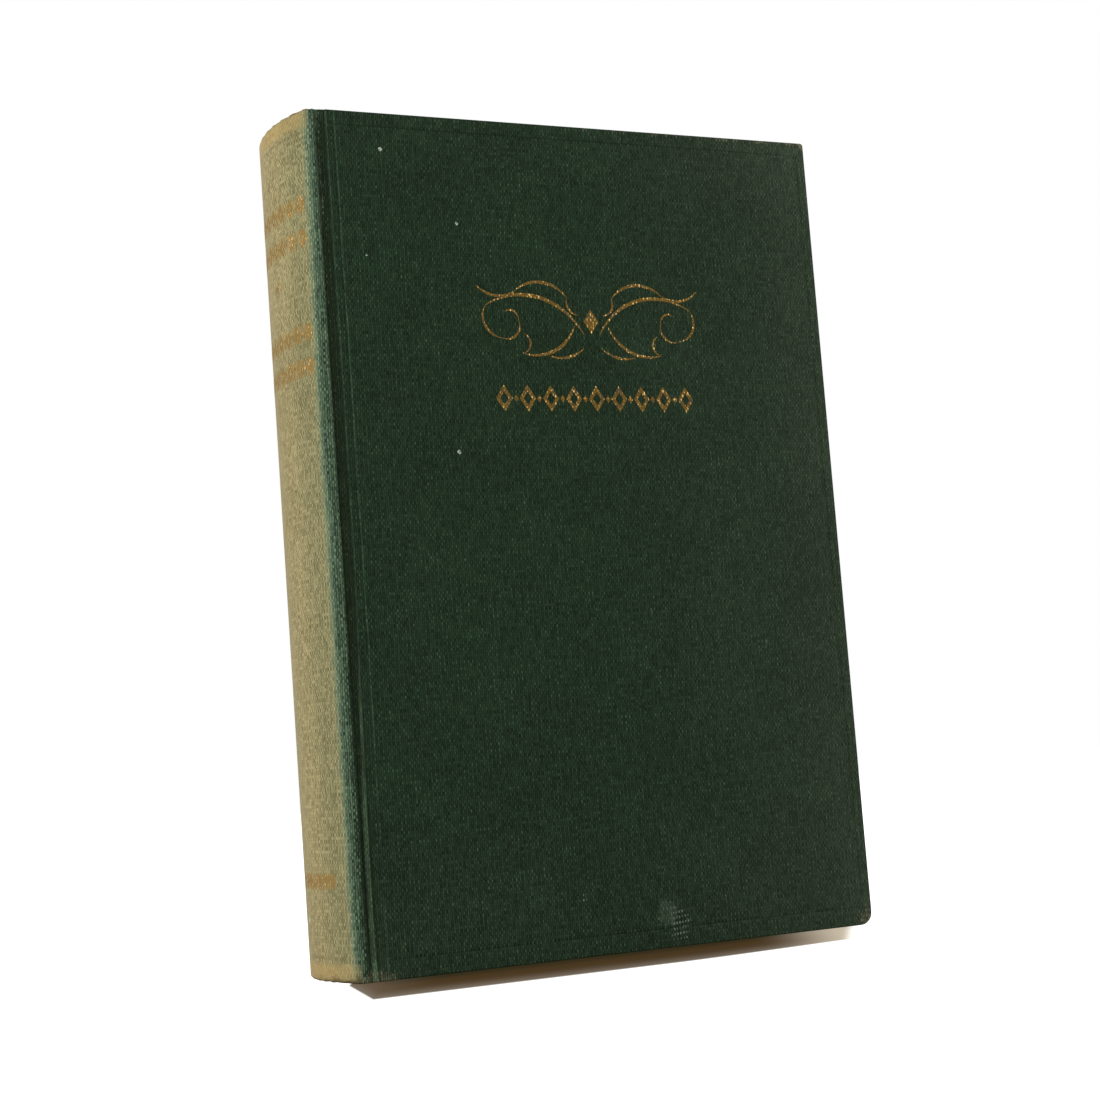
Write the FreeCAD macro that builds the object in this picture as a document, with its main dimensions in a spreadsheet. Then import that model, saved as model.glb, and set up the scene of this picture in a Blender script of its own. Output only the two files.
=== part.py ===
"""Cloth-bound hardback book, standing on its tail: a FreeCAD 1.1 macro, in millimetres.

The fore-edge is at +X, the front cover faces -Y and the head is at +Z.  The origin is the centre of
the footprint.  A rounded and backed text block hangs in a case of two cloth-covered boards and a
hollow spine.  Each cover swings about an upright line in its joint, which is where the cloth, the
mull and the endpaper are divided between the block and the covers.
"""
import FreeCAD, Part
import math
import os
import Sketcher

# Driving dimensions: name, millimetres, meaning.
SIZES = (
    ("cover_height", 205.0, "covers and spine, tail to head"),
    ("cover_width", 134.3, "cover, joint edge to fore-edge, over the cloth"),
    ("book_thick", 35.0, "over both covers"),
    ("board_thick", 2.5, "millboard of a cover"),
    ("cloth_thick", 0.45, "book cloth with its glue"),
    ("paper_thick", 0.2, "endpaper"),
    ("square_ends", 3.5, "covers beyond the block at head and tail"),
    ("square_fore", 4.0, "covers beyond the block at the fore-edge"),
    ("leaf_gap", 0.3, "air between a cover and its flyleaf"),
    ("fit", 0.1, "slack between pieces that lie edge to edge"),
    ("turn_in", 15.0, "cloth turned in over the boards"),
    ("mull_flap", 25.0, "mull glued down on a board"),
    ("groove_width", 2.3, "joint groove between board and shoulder"),
    ("groove_depth", 2.0, "joint groove below the cover's face"),
    ("groove_round", 0.6, "radius at the bottom of the groove"),
    ("crown_inner", 0.25, "radius inside the cloth where the groove meets the shoulder"),
    ("spine_bulge", 5.2, "spine beyond the shoulders"),
    ("shoulder_inner", 0.7, "radius of the spine's shoulders, inside the turned-in cloth"),
    ("stiffener_thick", 0.8, "card behind the spine cloth"),
    ("spine_turn_in", 12.0, "cloth turned in at the spine's ends"),
    ("hollow", 1.0, "air between the case's spine and the block's"),
    ("lining_thick", 0.25, "paper lining on the block's spine"),
    ("lining_short", 2.0, "lining short of the block at each end"),
    ("mull_thick", 0.3, "mull on the block's spine"),
    ("mull_short", 12.0, "mull short of the block at each end"),
    ("flare", 1.2, "block's shoulder beyond its flyleaves"),
    ("fore_hollow", 3.2, "depth of the block's hollow fore-edge"),
    ("band_tab", 8.0, "headband glued to the block's spine"),
    ("band_width", 1.6, "bead of a headband"),
    ("thread", 0.5, "row of sewing thread, across"),
    ("kettle", 17.0, "outer rows of sewing from the block's ends"),
    ("edge_round", 0.6, "outer edges of the covered boards"),
    ("inner_round", 0.35, "inner edges of the covered boards"),
    ("head_corner", 0.95, "board's corner at the head, inside the cloth"),
    ("tail_corner", 2.75, "board's worn corner at the tail, inside the cloth"),
    ("line_width", 0.5, "blind-stamped frame line, across"),
    ("line_depth", 0.2, "blind-stamped frame line, into the cloth"),
    ("line_joint", 2.0, "frame line from the joint edge"),
    ("line_fore", 2.4, "frame line from the fore-edge"),
    ("line_head", 3.4, "frame line from the head"),
    ("line_tail", 4.4, "frame line from the tail"),
    ("foil_thick", 0.1, "gilding, pressed flush into the cloth"),
    ("flourish_high", 155.0, "centre of the flourish above the tail"),
    ("flourish_width", 62.0, "flourish, across"),
    ("flourish_pen", 0.95, "widest stroke of the flourish"),
    ("row_high", 135.4, "row of lozenges on the cover above the tail"),
    ("row_pitch", 6.3, "lozenge to lozenge on the cover"),
    ("row_lozenge", 6.6, "lozenge on the cover, tip to tip"),
    ("row_line", 0.9, "outline of a lozenge on the cover"),
    ("upper_rows_high", 178.2, "middle of the spine's upper rows above the tail"),
    ("upper_lozenge", 4.6, "lozenge of the upper rows"),
    ("lower_rows_high", 147.5, "middle of the spine's second rows above the tail"),
    ("lower_lozenge", 4.6, "lozenge of the second rows"),
    ("spine_row_pitch", 8.1, "from one row to the other of each pair on the spine"),
    ("dot_high", 165.4, "single lozenge between the two pairs above the tail"),
    ("spine_line", 0.7, "outline of a lozenge on the spine"),
    ("foot_row_high", 23.2, "row at the foot of the spine above the tail"),
    ("foot_lozenge", 3.2, "lozenge of the foot row"),
)
FRONT, BACK = -1, 1          # the side of the middle plane, along Y, that a cover lies on
SEWING_ROWS = 6
SEWING_SHARE = 0.96          # of the block's spine that a row of stitches goes round
COVER_LOZENGES = 9
SPINE_LOZENGES = 7
FOOT_LOZENGES = 7
PITCH_RATIO = 1.0            # lozenge to lozenge on the spine, to a lozenge's height
LOZENGE_RATIO = 2 / 3        # width of a lozenge to its height
SMALL_SHARE = 0.3            # solid lozenge between two outlined ones, to their height
TIP_SHARE = 0.3              # end of a pen stroke, to its middle
# Right half of the flourish as swelled pen strokes, in tenths of its width from its centre: where a
# stroke starts and ends, and how far it bows to the left of its way.
STROKES = (
    ((0.35, -0.55), (4.6, 0.55), 0.95),
    ((4.6, 0.55), (3.95, -0.75), 0.42),
    ((3.95, -0.75), (3.2, 0.0), 0.34),
    ((3.2, 0.0), (3.8, 0.3), 0.22),
    ((0.75, -0.2), (3.1, -1.35), -0.5),
    ((3.1, -1.35), (3.0, -0.55), 0.3),
    ((1.0, 0.95), (3.3, 1.15), 0.5),
    ((1.0, 0.95), (0.55, 0.25), 0.22),
    ((3.3, 1.15), (4.95, 1.35), -0.3),
    ((0.4, -1.1), (1.9, -1.45), -0.2),
)


class Size:
    """A length, with the spreadsheet formula that gives it."""

    def __init__(self, value, formula=None):
        self.value = float(value)
        self.formula = formula or repr(float(value))

    def join(self, other, sign, value):
        return Size(value, f"({self.formula} {sign} {other.formula})")

    def __add__(self, other):
        other = as_size(other)
        return self.join(other, "+", self.value + other.value)

    def __sub__(self, other):
        other = as_size(other)
        return self.join(other, "-", self.value - other.value)

    def __mul__(self, other):
        other = as_size(other)
        return self.join(other, "*", self.value * other.value)

    def __truediv__(self, other):
        other = as_size(other)
        return self.join(other, "/", self.value / other.value)

    def __rsub__(self, other):
        return as_size(other) - self

    def __neg__(self):
        return Size(-self.value, f"(0 - {self.formula})")


def as_size(amount):
    return amount if isinstance(amount, Size) else Size(amount)


def root(amount):
    return Size(math.sqrt(amount.value), f"sqrt({amount.formula})")


def arcsine(ratio):
    """The angle in degrees."""
    return Size(math.degrees(math.asin(ratio.value)), f"(asin({ratio.formula}) / 1 deg)")


def bow_radius(half_chord, rise):
    """Radius of the arc that rises by `rise` over twice `half_chord`."""
    return (half_chord * half_chord + rise * rise) / (rise * 2)


doc = FreeCAD.newDocument("book")
sheet = doc.addObject("Spreadsheet::Sheet", "Sizes")
for row, (alias, millimetres, meaning) in enumerate(SIZES, start=1):
    sheet.set(f"A{row}", meaning)
    sheet.set(f"B{row}", str(millimetres))
    sheet.setAlias(f"B{row}", alias)
doc.recompute()


def size(alias):
    return Size(sheet.get(alias), f"Sizes.{alias}")


# ---- places that several pieces share -----------------------------------------------------------
HEIGHT = size("cover_height")
HALF = size("book_thick") / 2
CLOTH = size("cloth_thick")
PAPER = size("paper_thick")
FIT = size("fit")
GROOVE_ROUND = size("groove_round")
CROWN_ROUND = size("crown_inner") + CLOTH
SHOULDER_ROUND = size("shoulder_inner") + CLOTH * 2 + size("stiffener_thick")
TAIL_CORNER = size("tail_corner")
HEAD_CORNER = size("head_corner")
BULGE = size("spine_bulge")

# along X
FORE = (size("cover_width") + size("groove_width") + CROWN_ROUND + BULGE) / 2
JOINT = FORE - size("cover_width")
BOARD_JOINT = JOINT + CLOTH
HINGE = JOINT - size("groove_width") / 2
SHOULDER = JOINT - size("groove_width")
CROWN = SHOULDER - CROWN_ROUND
SPINE = CROWN - BULGE
BLOCK_FORE = FORE - size("square_fore")

# depth below a cover's outer face
BOARD_IN = CLOTH + size("board_thick")
CLOTH_IN = BOARD_IN + CLOTH
PASTED_IN = CLOTH_IN + PAPER
GROOVE = size("groove_depth")

# the block: half thickness, and the arcs of its backed spine
BLOCK_HALF = HALF - PASTED_IN - size("leaf_gap") - PAPER
BLOCK_TAIL = size("square_ends")
BLOCK_HEAD = HEIGHT - BLOCK_TAIL
SPINE_RADIUS = (
    (BULGE * BULGE + (HALF - SHOULDER_ROUND) * (HALF - SHOULDER_ROUND) - SHOULDER_ROUND * SHOULDER_ROUND)
    / ((BULGE - SHOULDER_ROUND) * 2)
)
AXIS = SPINE + SPINE_RADIUS                      # the upright line that the spine's arcs turn about
LINING_OUT = CLOTH + size("stiffener_thick") + size("hollow")
MULL_OUT = LINING_OUT + size("lining_thick")
BLOCK_RADIUS = SPINE_RADIUS - MULL_OUT - size("mull_thick")
TIP = BLOCK_HALF + size("flare")                 # half thickness across the block's shoulders
TIP_X = AXIS - root(BLOCK_RADIUS * BLOCK_RADIUS - TIP * TIP)
FLARE_RADIUS = bow_radius(HINGE - TIP_X, size("flare"))
FLARE_CENTRE = BLOCK_HALF + FLARE_RADIUS
SPREAD = arcsine(TIP / BLOCK_RADIUS) * 2         # angle of the block's spine about AXIS, in degrees


# ---- FreeCAD helpers ------------------------------------------------------------------------------
def bind(thing, prop, amount):
    """Binds a property to the sheet."""
    thing.setExpression(prop, as_size(amount).formula)


def new_body(name):
    body = doc.addObject("PartDesign::Body", name)
    body.Label = name
    body.AllowCompound = True
    return body


def arc_geometry(start, end, radius):
    """Arc of less than half a turn from start to end, anticlockwise where radius is positive."""
    middle = (start + end) * 0.5
    chord = end - start
    rise = math.sqrt(max(radius * radius - chord.Length * chord.Length / 4, 0.0))
    left = FreeCAD.Vector(-chord.y, chord.x, 0).normalize()
    centre = middle + left * math.copysign(rise, radius)
    first, last = (start, end) if radius > 0 else (end, start)
    angles = [math.atan2((point - centre).y, (point - centre).x) for point in (first, last)]
    return Part.ArcOfCircle(Part.Circle(centre, FreeCAD.Vector(0, 0, 1), abs(radius)), *angles)


def draw(body, name, plane, loops, lift=0.0, shift=0.0):
    """Sketch of closed loops on one of the body's origin planes, fully bound to the sheet.

    A loop is a list of corners (x, y) or (x, y, radius); the radius makes the edge that arrives at
    the corner an arc, anticlockwise where it is positive.
    """
    sketch = body.newObject("Sketcher::SketchObject", name)
    origin_plane = [item for item in body.Origin.OriginFeatures if item.Role == plane][0]
    sketch.AttachmentSupport = [(origin_plane, "")]
    sketch.MapMode = "FlatFace"
    bind(sketch, ".AttachmentOffset.Base.z", lift)
    bind(sketch, ".AttachmentOffset.Base.x", shift)
    for loop in loops:
        draw_loop(sketch, [[as_size(amount) for amount in corner] for corner in loop])
    return sketch


def draw_loop(sketch, corners):
    points = [FreeCAD.Vector(corner[0].value, corner[1].value, 0) for corner in corners]
    ends = []                                    # for each edge: its index, start and end vertex
    for number, corner in enumerate(corners):
        start, end = points[number - 1], points[number]
        if len(corner) == 2:
            ends.append((sketch.addGeometry(Part.LineSegment(start, end), False), 1, 2))
            continue
        radius = corner[2]
        edge = sketch.addGeometry(arc_geometry(start, end, radius.value), False)
        ends.append((edge, 1, 2) if radius.value > 0 else (edge, 2, 1))
    for number, corner in enumerate(corners):
        edge, start, end = ends[number]
        following, next_start, _ = ends[(number + 1) % len(ends)]
        sketch.addConstraint(Sketcher.Constraint("Coincident", edge, end, following, next_start))
        for kind, amount in (("DistanceX", corner[0]), ("DistanceY", corner[1])):
            constraint = Sketcher.Constraint(kind, -1, 1, edge, end, amount.value)
            index = sketch.addConstraint(constraint)
            bind(sketch, f"Constraints[{index}]", amount)
        if len(corner) == 3:
            forward = corner[2] if corner[2].value > 0 else -corner[2]
            index = sketch.addConstraint(Sketcher.Constraint("Radius", edge, forward.value))
            bind(sketch, f"Constraints[{index}]", forward)


def rectangle(left, low, right, high, low_corner=None, high_corner=None):
    """Rectangle, with its right-hand corners rounded where radii are given."""
    if low_corner is None:
        return [(left, low), (right, low), (right, high), (left, high)]
    return [
        (left, low), (right - low_corner, low), (right, low + low_corner, low_corner),
        (right, high - high_corner), (right - high_corner, high, high_corner), (left, high),
    ]


def pad(body, name, sketch, length):
    feature = body.newObject("PartDesign::Pad", name)
    feature.Profile = sketch
    bind(feature, "Length", length)
    return feature


def pocket(body, name, sketch, depth):
    """Cuts along the sketch's normal."""
    feature = body.newObject("PartDesign::Pocket", name)
    feature.Profile = sketch
    feature.Reversed = True
    bind(feature, "Length", depth)
    return feature


def upright_pad(body, name, loop, low, high):
    """Pads a horizontal section between two heights."""
    return pad(body, name, draw(body, name + "_section", "XY_Plane", [loop], lift=low), high - low)


def upright_pocket(body, name, loop, low, high):
    return pocket(body, name, draw(body, name + "_section", "XY_Plane", [loop], lift=low), high - low)


def layer_plane(side, outer, inner):
    """Lift, towards -Y, of the sketch on the +Y face of a layer between two depths in a cover."""
    return HALF - inner if side == FRONT else outer - HALF


def layer_pad(body, name, side, loops, outer, inner):
    """Pads an outline of the cover between two depths below the cover's outer face."""
    sketch = draw(body, name + "_outline", "XZ_Plane", loops, lift=layer_plane(side, outer, inner))
    return pad(body, name, sketch, inner - outer)


def layer_pocket(body, name, side, loops, outer, inner):
    sketch = draw(body, name + "_outline", "XZ_Plane", loops, lift=layer_plane(side, outer, inner))
    return pocket(body, name, sketch, inner - outer)


def turn(body, name, loops, kind="PartDesign::Revolution", degrees=SPREAD):
    """Turns a section about AXIS, to both sides of the middle plane."""
    sketch = draw(body, name + "_section", "XZ_Plane", loops, shift=AXIS)
    feature = body.newObject(kind, name)
    feature.Profile = sketch
    feature.ReferenceAxis = (sketch, ["V_Axis"])
    feature.Midplane = True
    bind(feature, "Angle", degrees)
    return feature


def on_side(side, loop):
    """Puts a loop drawn for the back cover, at +Y, on the side that is asked for."""
    if side == BACK:
        return loop
    return [(corner[0], -corner[1], *(-radius for radius in corner[2:])) for corner in loop]


def spine_point(offset):
    """Where the shoulder arc meets the main arc, for a surface `offset` inside the spine cloth."""
    share = (SPINE_RADIUS - offset) / (SPINE_RADIUS - SHOULDER_ROUND)
    return AXIS + (CROWN - AXIS) * share, (HALF - SHOULDER_ROUND) * share


def spine_arcs(offset):
    """Three arcs of the spine from the front crown to the back one, without their first corner."""
    x, y = spine_point(offset)
    small, large = SHOULDER_ROUND - offset, SPINE_RADIUS - offset
    return [(x, -y, -small), (x, y, -large), (CROWN, HALF - offset, -small)]


def spine_arcs_back(offset):
    """The same three arcs from the back crown to the front one."""
    x, y = spine_point(offset)
    small, large = SHOULDER_ROUND - offset, SPINE_RADIUS - offset
    return [(x, y, small), (x, -y, large), (CROWN, offset - HALF, small)]


def spine_layer(outer, inner):
    """Section of a layer of the case's spine, between two depths below the cloth's face."""
    return [
        (CROWN, outer - HALF), *spine_arcs(outer),
        (CROWN, HALF - inner), *spine_arcs_back(inner),
    ]


def block_spine_layer(inner, outer):
    """Section of a layer on the block's own spine, between two radii about AXIS."""
    def tip(radius):
        share = radius / BLOCK_RADIUS
        return AXIS + (TIP_X - AXIS) * share, TIP * share
    near, far = tip(inner), tip(outer)
    return [(far[0], far[1]), (far[0], -far[1], outer), (near[0], -near[1]), (near[0], near[1], -inner)]


def flare_tip(offset):
    """End of a surface `offset` outside the block's flared shoulder, at +Y."""
    share = (FLARE_RADIUS - offset) / FLARE_RADIUS
    return HINGE + (TIP_X - HINGE) * share, FLARE_CENTRE + (TIP - FLARE_CENTRE) * share


# ---- block ----------------------------------------------------------------------------------------
def sewing_heights():
    """Heights of the rows of sewing, evenly spaced between the two kettle stitches."""
    low = BLOCK_TAIL + size("kettle")
    step = (BLOCK_HEAD - size("kettle") - low) / (SEWING_ROWS - 1)
    return [low + step * number for number in range(SEWING_ROWS)]


def sewing_section():
    """One square of thread for each row, sunk into the block's spine."""
    half = size("thread") / 2
    inner = size("thread") - BLOCK_RADIUS
    return [rectangle(-BLOCK_RADIUS, height - half, inner, height + half) for height in sewing_heights()]


def make_text_block():
    body = new_body("text_block")
    fore_radius = bow_radius(BLOCK_HALF, size("fore_hollow"))
    section = [
        (BLOCK_FORE, -BLOCK_HALF), (BLOCK_FORE, BLOCK_HALF, -fore_radius), (HINGE, BLOCK_HALF),
        (TIP_X, TIP, -FLARE_RADIUS), (TIP_X, -TIP, BLOCK_RADIUS), (HINGE, -BLOCK_HALF, -FLARE_RADIUS),
    ]
    upright_pad(body, "leaves", section, BLOCK_TAIL, BLOCK_HEAD)
    turn(body, "sewing_kerfs", sewing_section(), "PartDesign::Groove", SPREAD * SEWING_SHARE)


def make_sewing_thread():
    turn(new_body("sewing_thread"), "stitches", sewing_section(), degrees=SPREAD * SEWING_SHARE)


def make_flyleaf(name, side):
    x, y = flare_tip(PAPER)
    section = [
        (HINGE, BLOCK_HALF), (TIP_X, TIP, -FLARE_RADIUS), (x, y),
        (HINGE, BLOCK_HALF + PAPER, FLARE_RADIUS - PAPER),
        (BLOCK_FORE, BLOCK_HALF + PAPER), (BLOCK_FORE, BLOCK_HALF),
    ]
    upright_pad(new_body(name), "leaf", on_side(side, section), BLOCK_TAIL, BLOCK_HEAD)


def make_spine_mull():
    """Mull round the block's spine and both shoulders, as far as the hinge lines."""
    thick = size("mull_thick")
    leaf_x, leaf_y = flare_tip(PAPER)
    out_x, out_y = flare_tip(PAPER + thick)
    far = BLOCK_RADIUS + thick
    share = far / BLOCK_RADIUS
    spine_x, spine_y = AXIS + (TIP_X - AXIS) * share, TIP * share
    cap = spine_y + thick
    edge = HINGE - FIT
    rise = root((FLARE_RADIUS - PAPER) * (FLARE_RADIUS - PAPER) - FIT * FIT)
    outer_rise = root(
        (FLARE_RADIUS - PAPER - thick) * (FLARE_RADIUS - PAPER - thick) - FIT * FIT)
    section = [
        (edge, FLARE_CENTRE - rise), (leaf_x, leaf_y, PAPER - FLARE_RADIUS), (TIP_X, TIP),
        (TIP_X, -TIP, BLOCK_RADIUS), (leaf_x, -leaf_y), (edge, rise - FLARE_CENTRE, PAPER - FLARE_RADIUS),
        (edge, outer_rise - FLARE_CENTRE), (out_x, -out_y, FLARE_RADIUS - PAPER - thick),
        (out_x, -cap), (spine_x, -cap), (spine_x, -spine_y), (spine_x, spine_y, -far),
        (spine_x, cap), (out_x, cap), (out_x, out_y),
        (edge, FLARE_CENTRE - outer_rise, FLARE_RADIUS - PAPER - thick),
    ]
    short = size("mull_short")
    upright_pad(new_body("spine_mull"), "gauze", section, BLOCK_TAIL + short, BLOCK_HEAD - short)


def make_spine_lining():
    inner = BLOCK_RADIUS + size("mull_thick")
    section = block_spine_layer(inner, inner + size("lining_thick"))
    short = size("lining_short")
    upright_pad(new_body("spine_lining"), "paper", section, BLOCK_TAIL + short, BLOCK_HEAD - short)


def make_headband(name, end, way):
    """Bead on the block's edge with a tab down its spine; way is +1 at the head, -1 at the tail."""
    half = size("band_width") / 2
    far = -(BLOCK_RADIUS + size("mull_thick"))
    top = end + half * 1.5 * way
    side = end + half * 0.5 * way
    section = [
        (far, end - size("band_tab") * way), (-BLOCK_RADIUS, end - size("band_tab") * way),
        (-BLOCK_RADIUS, end), (far + half * 2, end), (far + half * 2, side),
        (far + half, top, half * way), (far, side, half * way),
    ]
    turn(new_body(name), "band", [section])


# ---- case -----------------------------------------------------------------------------------------
def round_slab(body, base, side):
    """Rounds the outer and inner perimeter of the covered board."""
    outer = HALF.value * side
    inner = (HALF - CLOTH_IN).value * side

    def edges_at(y, keep_joint):
        """Names of the base's edges that lie in the plane y."""
        names = []
        for number, edge in enumerate(base.Shape.Edges, start=1):
            box = edge.BoundBox
            flat = abs(box.YMin - y) < 1e-4 and abs(box.YMax - y) < 1e-4
            at_joint = box.XMax < JOINT.value + 1e-4
            if flat and (keep_joint or not at_joint):
                names.append(f"Edge{number}")
        return names
    for name, y, keep_joint, radius in (
        ("outer_edges", outer, True, "edge_round"), ("inner_edges", inner, False, "inner_round"),
    ):
        fillet = body.newObject("PartDesign::Fillet", name)
        fillet.Base = (base, edges_at(y, keep_joint))
        bind(fillet, "Radius", size(radius))
        doc.recompute()
        base = fillet


def board_outline():
    return rectangle(BOARD_JOINT, CLOTH, FORE - CLOTH, HEIGHT - CLOTH, TAIL_CORNER, HEAD_CORNER)


def make_cover_cloth(name, side):
    """Cloth round a board: outer face, turn-ins, and its half of the joint."""
    body = new_body(name)
    outline = rectangle(JOINT, Size(0), FORE, HEIGHT, TAIL_CORNER + CLOTH, HEAD_CORNER + CLOTH)
    slab = layer_pad(body, "slab", side, [outline], Size(0), CLOTH_IN)
    doc.recompute()
    round_slab(body, slab, side)
    layer_pocket(body, "board_space", side, [board_outline()], CLOTH, BOARD_IN)
    turn_in = size("turn_in")
    window = rectangle(JOINT - 1, turn_in, FORE - turn_in, HEIGHT - turn_in)
    layer_pocket(body, "window", side, [window], BOARD_IN, CLOTH_IN)
    flank = GROOVE - GROOVE_ROUND
    wall = rectangle(JOINT - 1, -CLOTH, BOARD_JOINT, HEIGHT + CLOTH)
    layer_pocket(body, "bare_board_edge", side, [wall], flank, CLOTH_IN)
    joint = [
        (HINGE, HALF - GROOVE), (HINGE, HALF - GROOVE - CLOTH),
        (JOINT - GROOVE_ROUND, HALF - GROOVE - CLOTH), (BOARD_JOINT, HALF - flank, GROOVE_ROUND + CLOTH),
        (JOINT, HALF - flank), (JOINT - GROOVE_ROUND, HALF - GROOVE, -GROOVE_ROUND),
    ]
    upright_pad(body, "joint", on_side(side, joint), Size(0), HEIGHT)
    if side == FRONT:
        width = size("line_width")
        left, right = JOINT + size("line_joint"), FORE - size("line_fore")
        low, high = size("line_tail"), HEIGHT - size("line_head")
        lines = [
            rectangle(left, low, right, high),
            rectangle(left + width, low + width, right - width, high - width),
        ]
        layer_pocket(body, "frame_line", side, lines, Size(0), size("line_depth"))
    return body


def make_board(name, side):
    layer_pad(new_body(name), "millboard", side, [board_outline()], CLOTH, BOARD_IN)


def make_mull_flap(name, side):
    """Mull and glue pressed down level with the turn-ins, from the hinge line over the board."""
    low = size("turn_in") + FIT
    outline = rectangle(HINGE + FIT, low, BOARD_JOINT + size("mull_flap"), HEIGHT - low)
    layer_pad(new_body(name), "gauze", side, [outline], BOARD_IN, CLOTH_IN)


def make_pastedown(name, side):
    """Endpaper over the turn-ins and the mull, dipping to the bare board between them."""
    body = new_body(name)
    left = BOARD_JOINT + size("mull_flap") + FIT
    low = size("turn_in") + FIT
    right = FORE - size("turn_in") - FIT
    sheet_outline = rectangle(HINGE + FIT, BLOCK_TAIL, BLOCK_FORE, BLOCK_HEAD)
    layer_pad(body, "sheet", side, [sheet_outline], CLOTH_IN, PASTED_IN)
    dip = rectangle(left, low, right, HEIGHT - low)
    layer_pad(body, "dip", side, [dip], BOARD_IN, PASTED_IN)
    hollow = rectangle(left + PAPER, low + PAPER, right - PAPER, HEIGHT - low - PAPER)
    layer_pocket(body, "dip_hollow", side, [hollow], BOARD_IN + PAPER, PASTED_IN)


def make_spine_stiffener():
    section = spine_layer(CLOTH, CLOTH + size("stiffener_thick"))
    upright_pad(new_body("spine_stiffener"), "card", section, CLOTH, HEIGHT - CLOTH)


def make_spine_cloth(name):
    """Cloth from hinge line to hinge line round the spine, turned in over the stiffener's ends."""
    body = new_body(name)
    groove_x = SHOULDER + GROOVE_ROUND
    flank = HALF - GROOVE + GROOVE_ROUND
    inner_round, inner_crown = GROOVE_ROUND + CLOTH, CROWN_ROUND - CLOTH
    inner_x, inner_y = SHOULDER - CLOTH, HALF - GROOVE - CLOTH
    section = [
        (HINGE, GROOVE - HALF), (groove_x, GROOVE - HALF), (SHOULDER, -flank, GROOVE_ROUND),
        (SHOULDER, CROWN_ROUND - HALF), (CROWN, -HALF, -CROWN_ROUND), *spine_arcs(Size(0)),
        (SHOULDER, HALF - CROWN_ROUND, -CROWN_ROUND), (SHOULDER, flank),
        (groove_x, HALF - GROOVE, GROOVE_ROUND), (HINGE, HALF - GROOVE),
        (HINGE, inner_y), (groove_x, inner_y), (inner_x, flank, -inner_round),
        (inner_x, HALF - CROWN_ROUND), (CROWN, HALF - CLOTH, inner_crown), *spine_arcs_back(CLOTH),
        (inner_x, CROWN_ROUND - HALF, inner_crown), (inner_x, -flank),
        (groove_x, -inner_y, -inner_round), (HINGE, -inner_y),
    ]
    upright_pad(body, "cloth", section, Size(0), HEIGHT)
    stiffener = size("stiffener_thick")
    folded = spine_layer(CLOTH, CLOTH + stiffener + CLOTH)
    upright_pad(body, "tail_turn_in", folded, Size(0), size("spine_turn_in"))
    upright_pad(body, "head_turn_in", folded, HEIGHT - size("spine_turn_in"), HEIGHT)
    upright_pocket(body, "card_space", spine_layer(CLOTH, CLOTH + stiffener), CLOTH, HEIGHT - CLOTH)
    return body


# ---- gilding --------------------------------------------------------------------------------------
def face(points):
    return Part.Face(Part.makePolygon([*points, points[0]]))


def lozenge(x, y, tall, line=0.0):
    """Upright lozenge, or its outline where the width of a line is given."""
    def corners(height):
        half = height / 2
        wide = half * LOZENGE_RATIO
        return [
            FreeCAD.Vector(x, y - half, 0), FreeCAD.Vector(x + wide, y, 0),
            FreeCAD.Vector(x, y + half, 0), FreeCAD.Vector(x - wide, y, 0),
        ]
    whole = face(corners(tall))
    # a side of the lozenge rises by this much for each millimetre that it is moved inwards
    steep = 2 * math.hypot(1, LOZENGE_RATIO) / LOZENGE_RATIO
    return whole.cut(face(corners(tall - line * steep))) if line else whole


def lozenge_row(y, count, pitch, tall, line):
    """Outlined lozenges in a row about x = 0, with a small solid one between each two."""
    places = [(number - (count - 1) / 2) * pitch for number in range(count)]
    row = [lozenge(x, y, tall, line) for x in places]
    return row + [lozenge(x + pitch / 2, y, tall * SMALL_SHARE) for x in places[:-1]]


def stroke(start, end, bow, pen):
    """Pen stroke between two arcs: fine at its ends, and as thick as the pen in its middle."""
    chord = end - start
    left = FreeCAD.Vector(-chord.y, chord.x, 0).normalize()
    middle = (start + end) * 0.5
    tip = left * (pen * TIP_SHARE / 2)
    edges = [
        Part.Arc(start + tip, middle + left * (bow + pen / 2), end + tip).toShape(),
        Part.LineSegment(end + tip, end - tip).toShape(),
        Part.Arc(end - tip, middle + left * (bow - pen / 2), start - tip).toShape(),
        Part.LineSegment(start - tip, start + tip).toShape(),
    ]
    return Part.Face(Part.Wire(edges))


def flourish(y, width, pen):
    """Symmetrical pen flourish: each stroke and its mirror image, about a lozenge."""
    unit = width / 10
    strokes = [lozenge(0, y, unit)]
    for start, end, bow in STROKES:
        # a long stroke swells to the full pen, and a short curl stays thinner
        share = min(1.0, 0.45 + math.dist(start, end) / 6)
        for way in (1, -1):
            points = [FreeCAD.Vector(way * at[0] * unit, y + at[1] * unit, 0) for at in (start, end)]
            strokes.append(stroke(*points, way * bow * unit, pen * share))
    return strokes


def prisms(name, faces, depth, placement):
    """Faces drawn in the XY plane, made solid and put in their place."""
    merged = faces[0].multiFuse(faces[1:]).removeSplitter()
    feature = doc.addObject("Part::Feature", name)
    feature.Shape = merged.extrude(FreeCAD.Vector(0, 0, depth))
    feature.Placement = placement
    return feature


def boolean(kind, name, base, tool):
    feature = doc.addObject(kind, name)
    feature.Base = base
    feature.Tool = tool
    feature.Label = name
    return feature


def number(alias):
    return sheet.get(alias)


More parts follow.
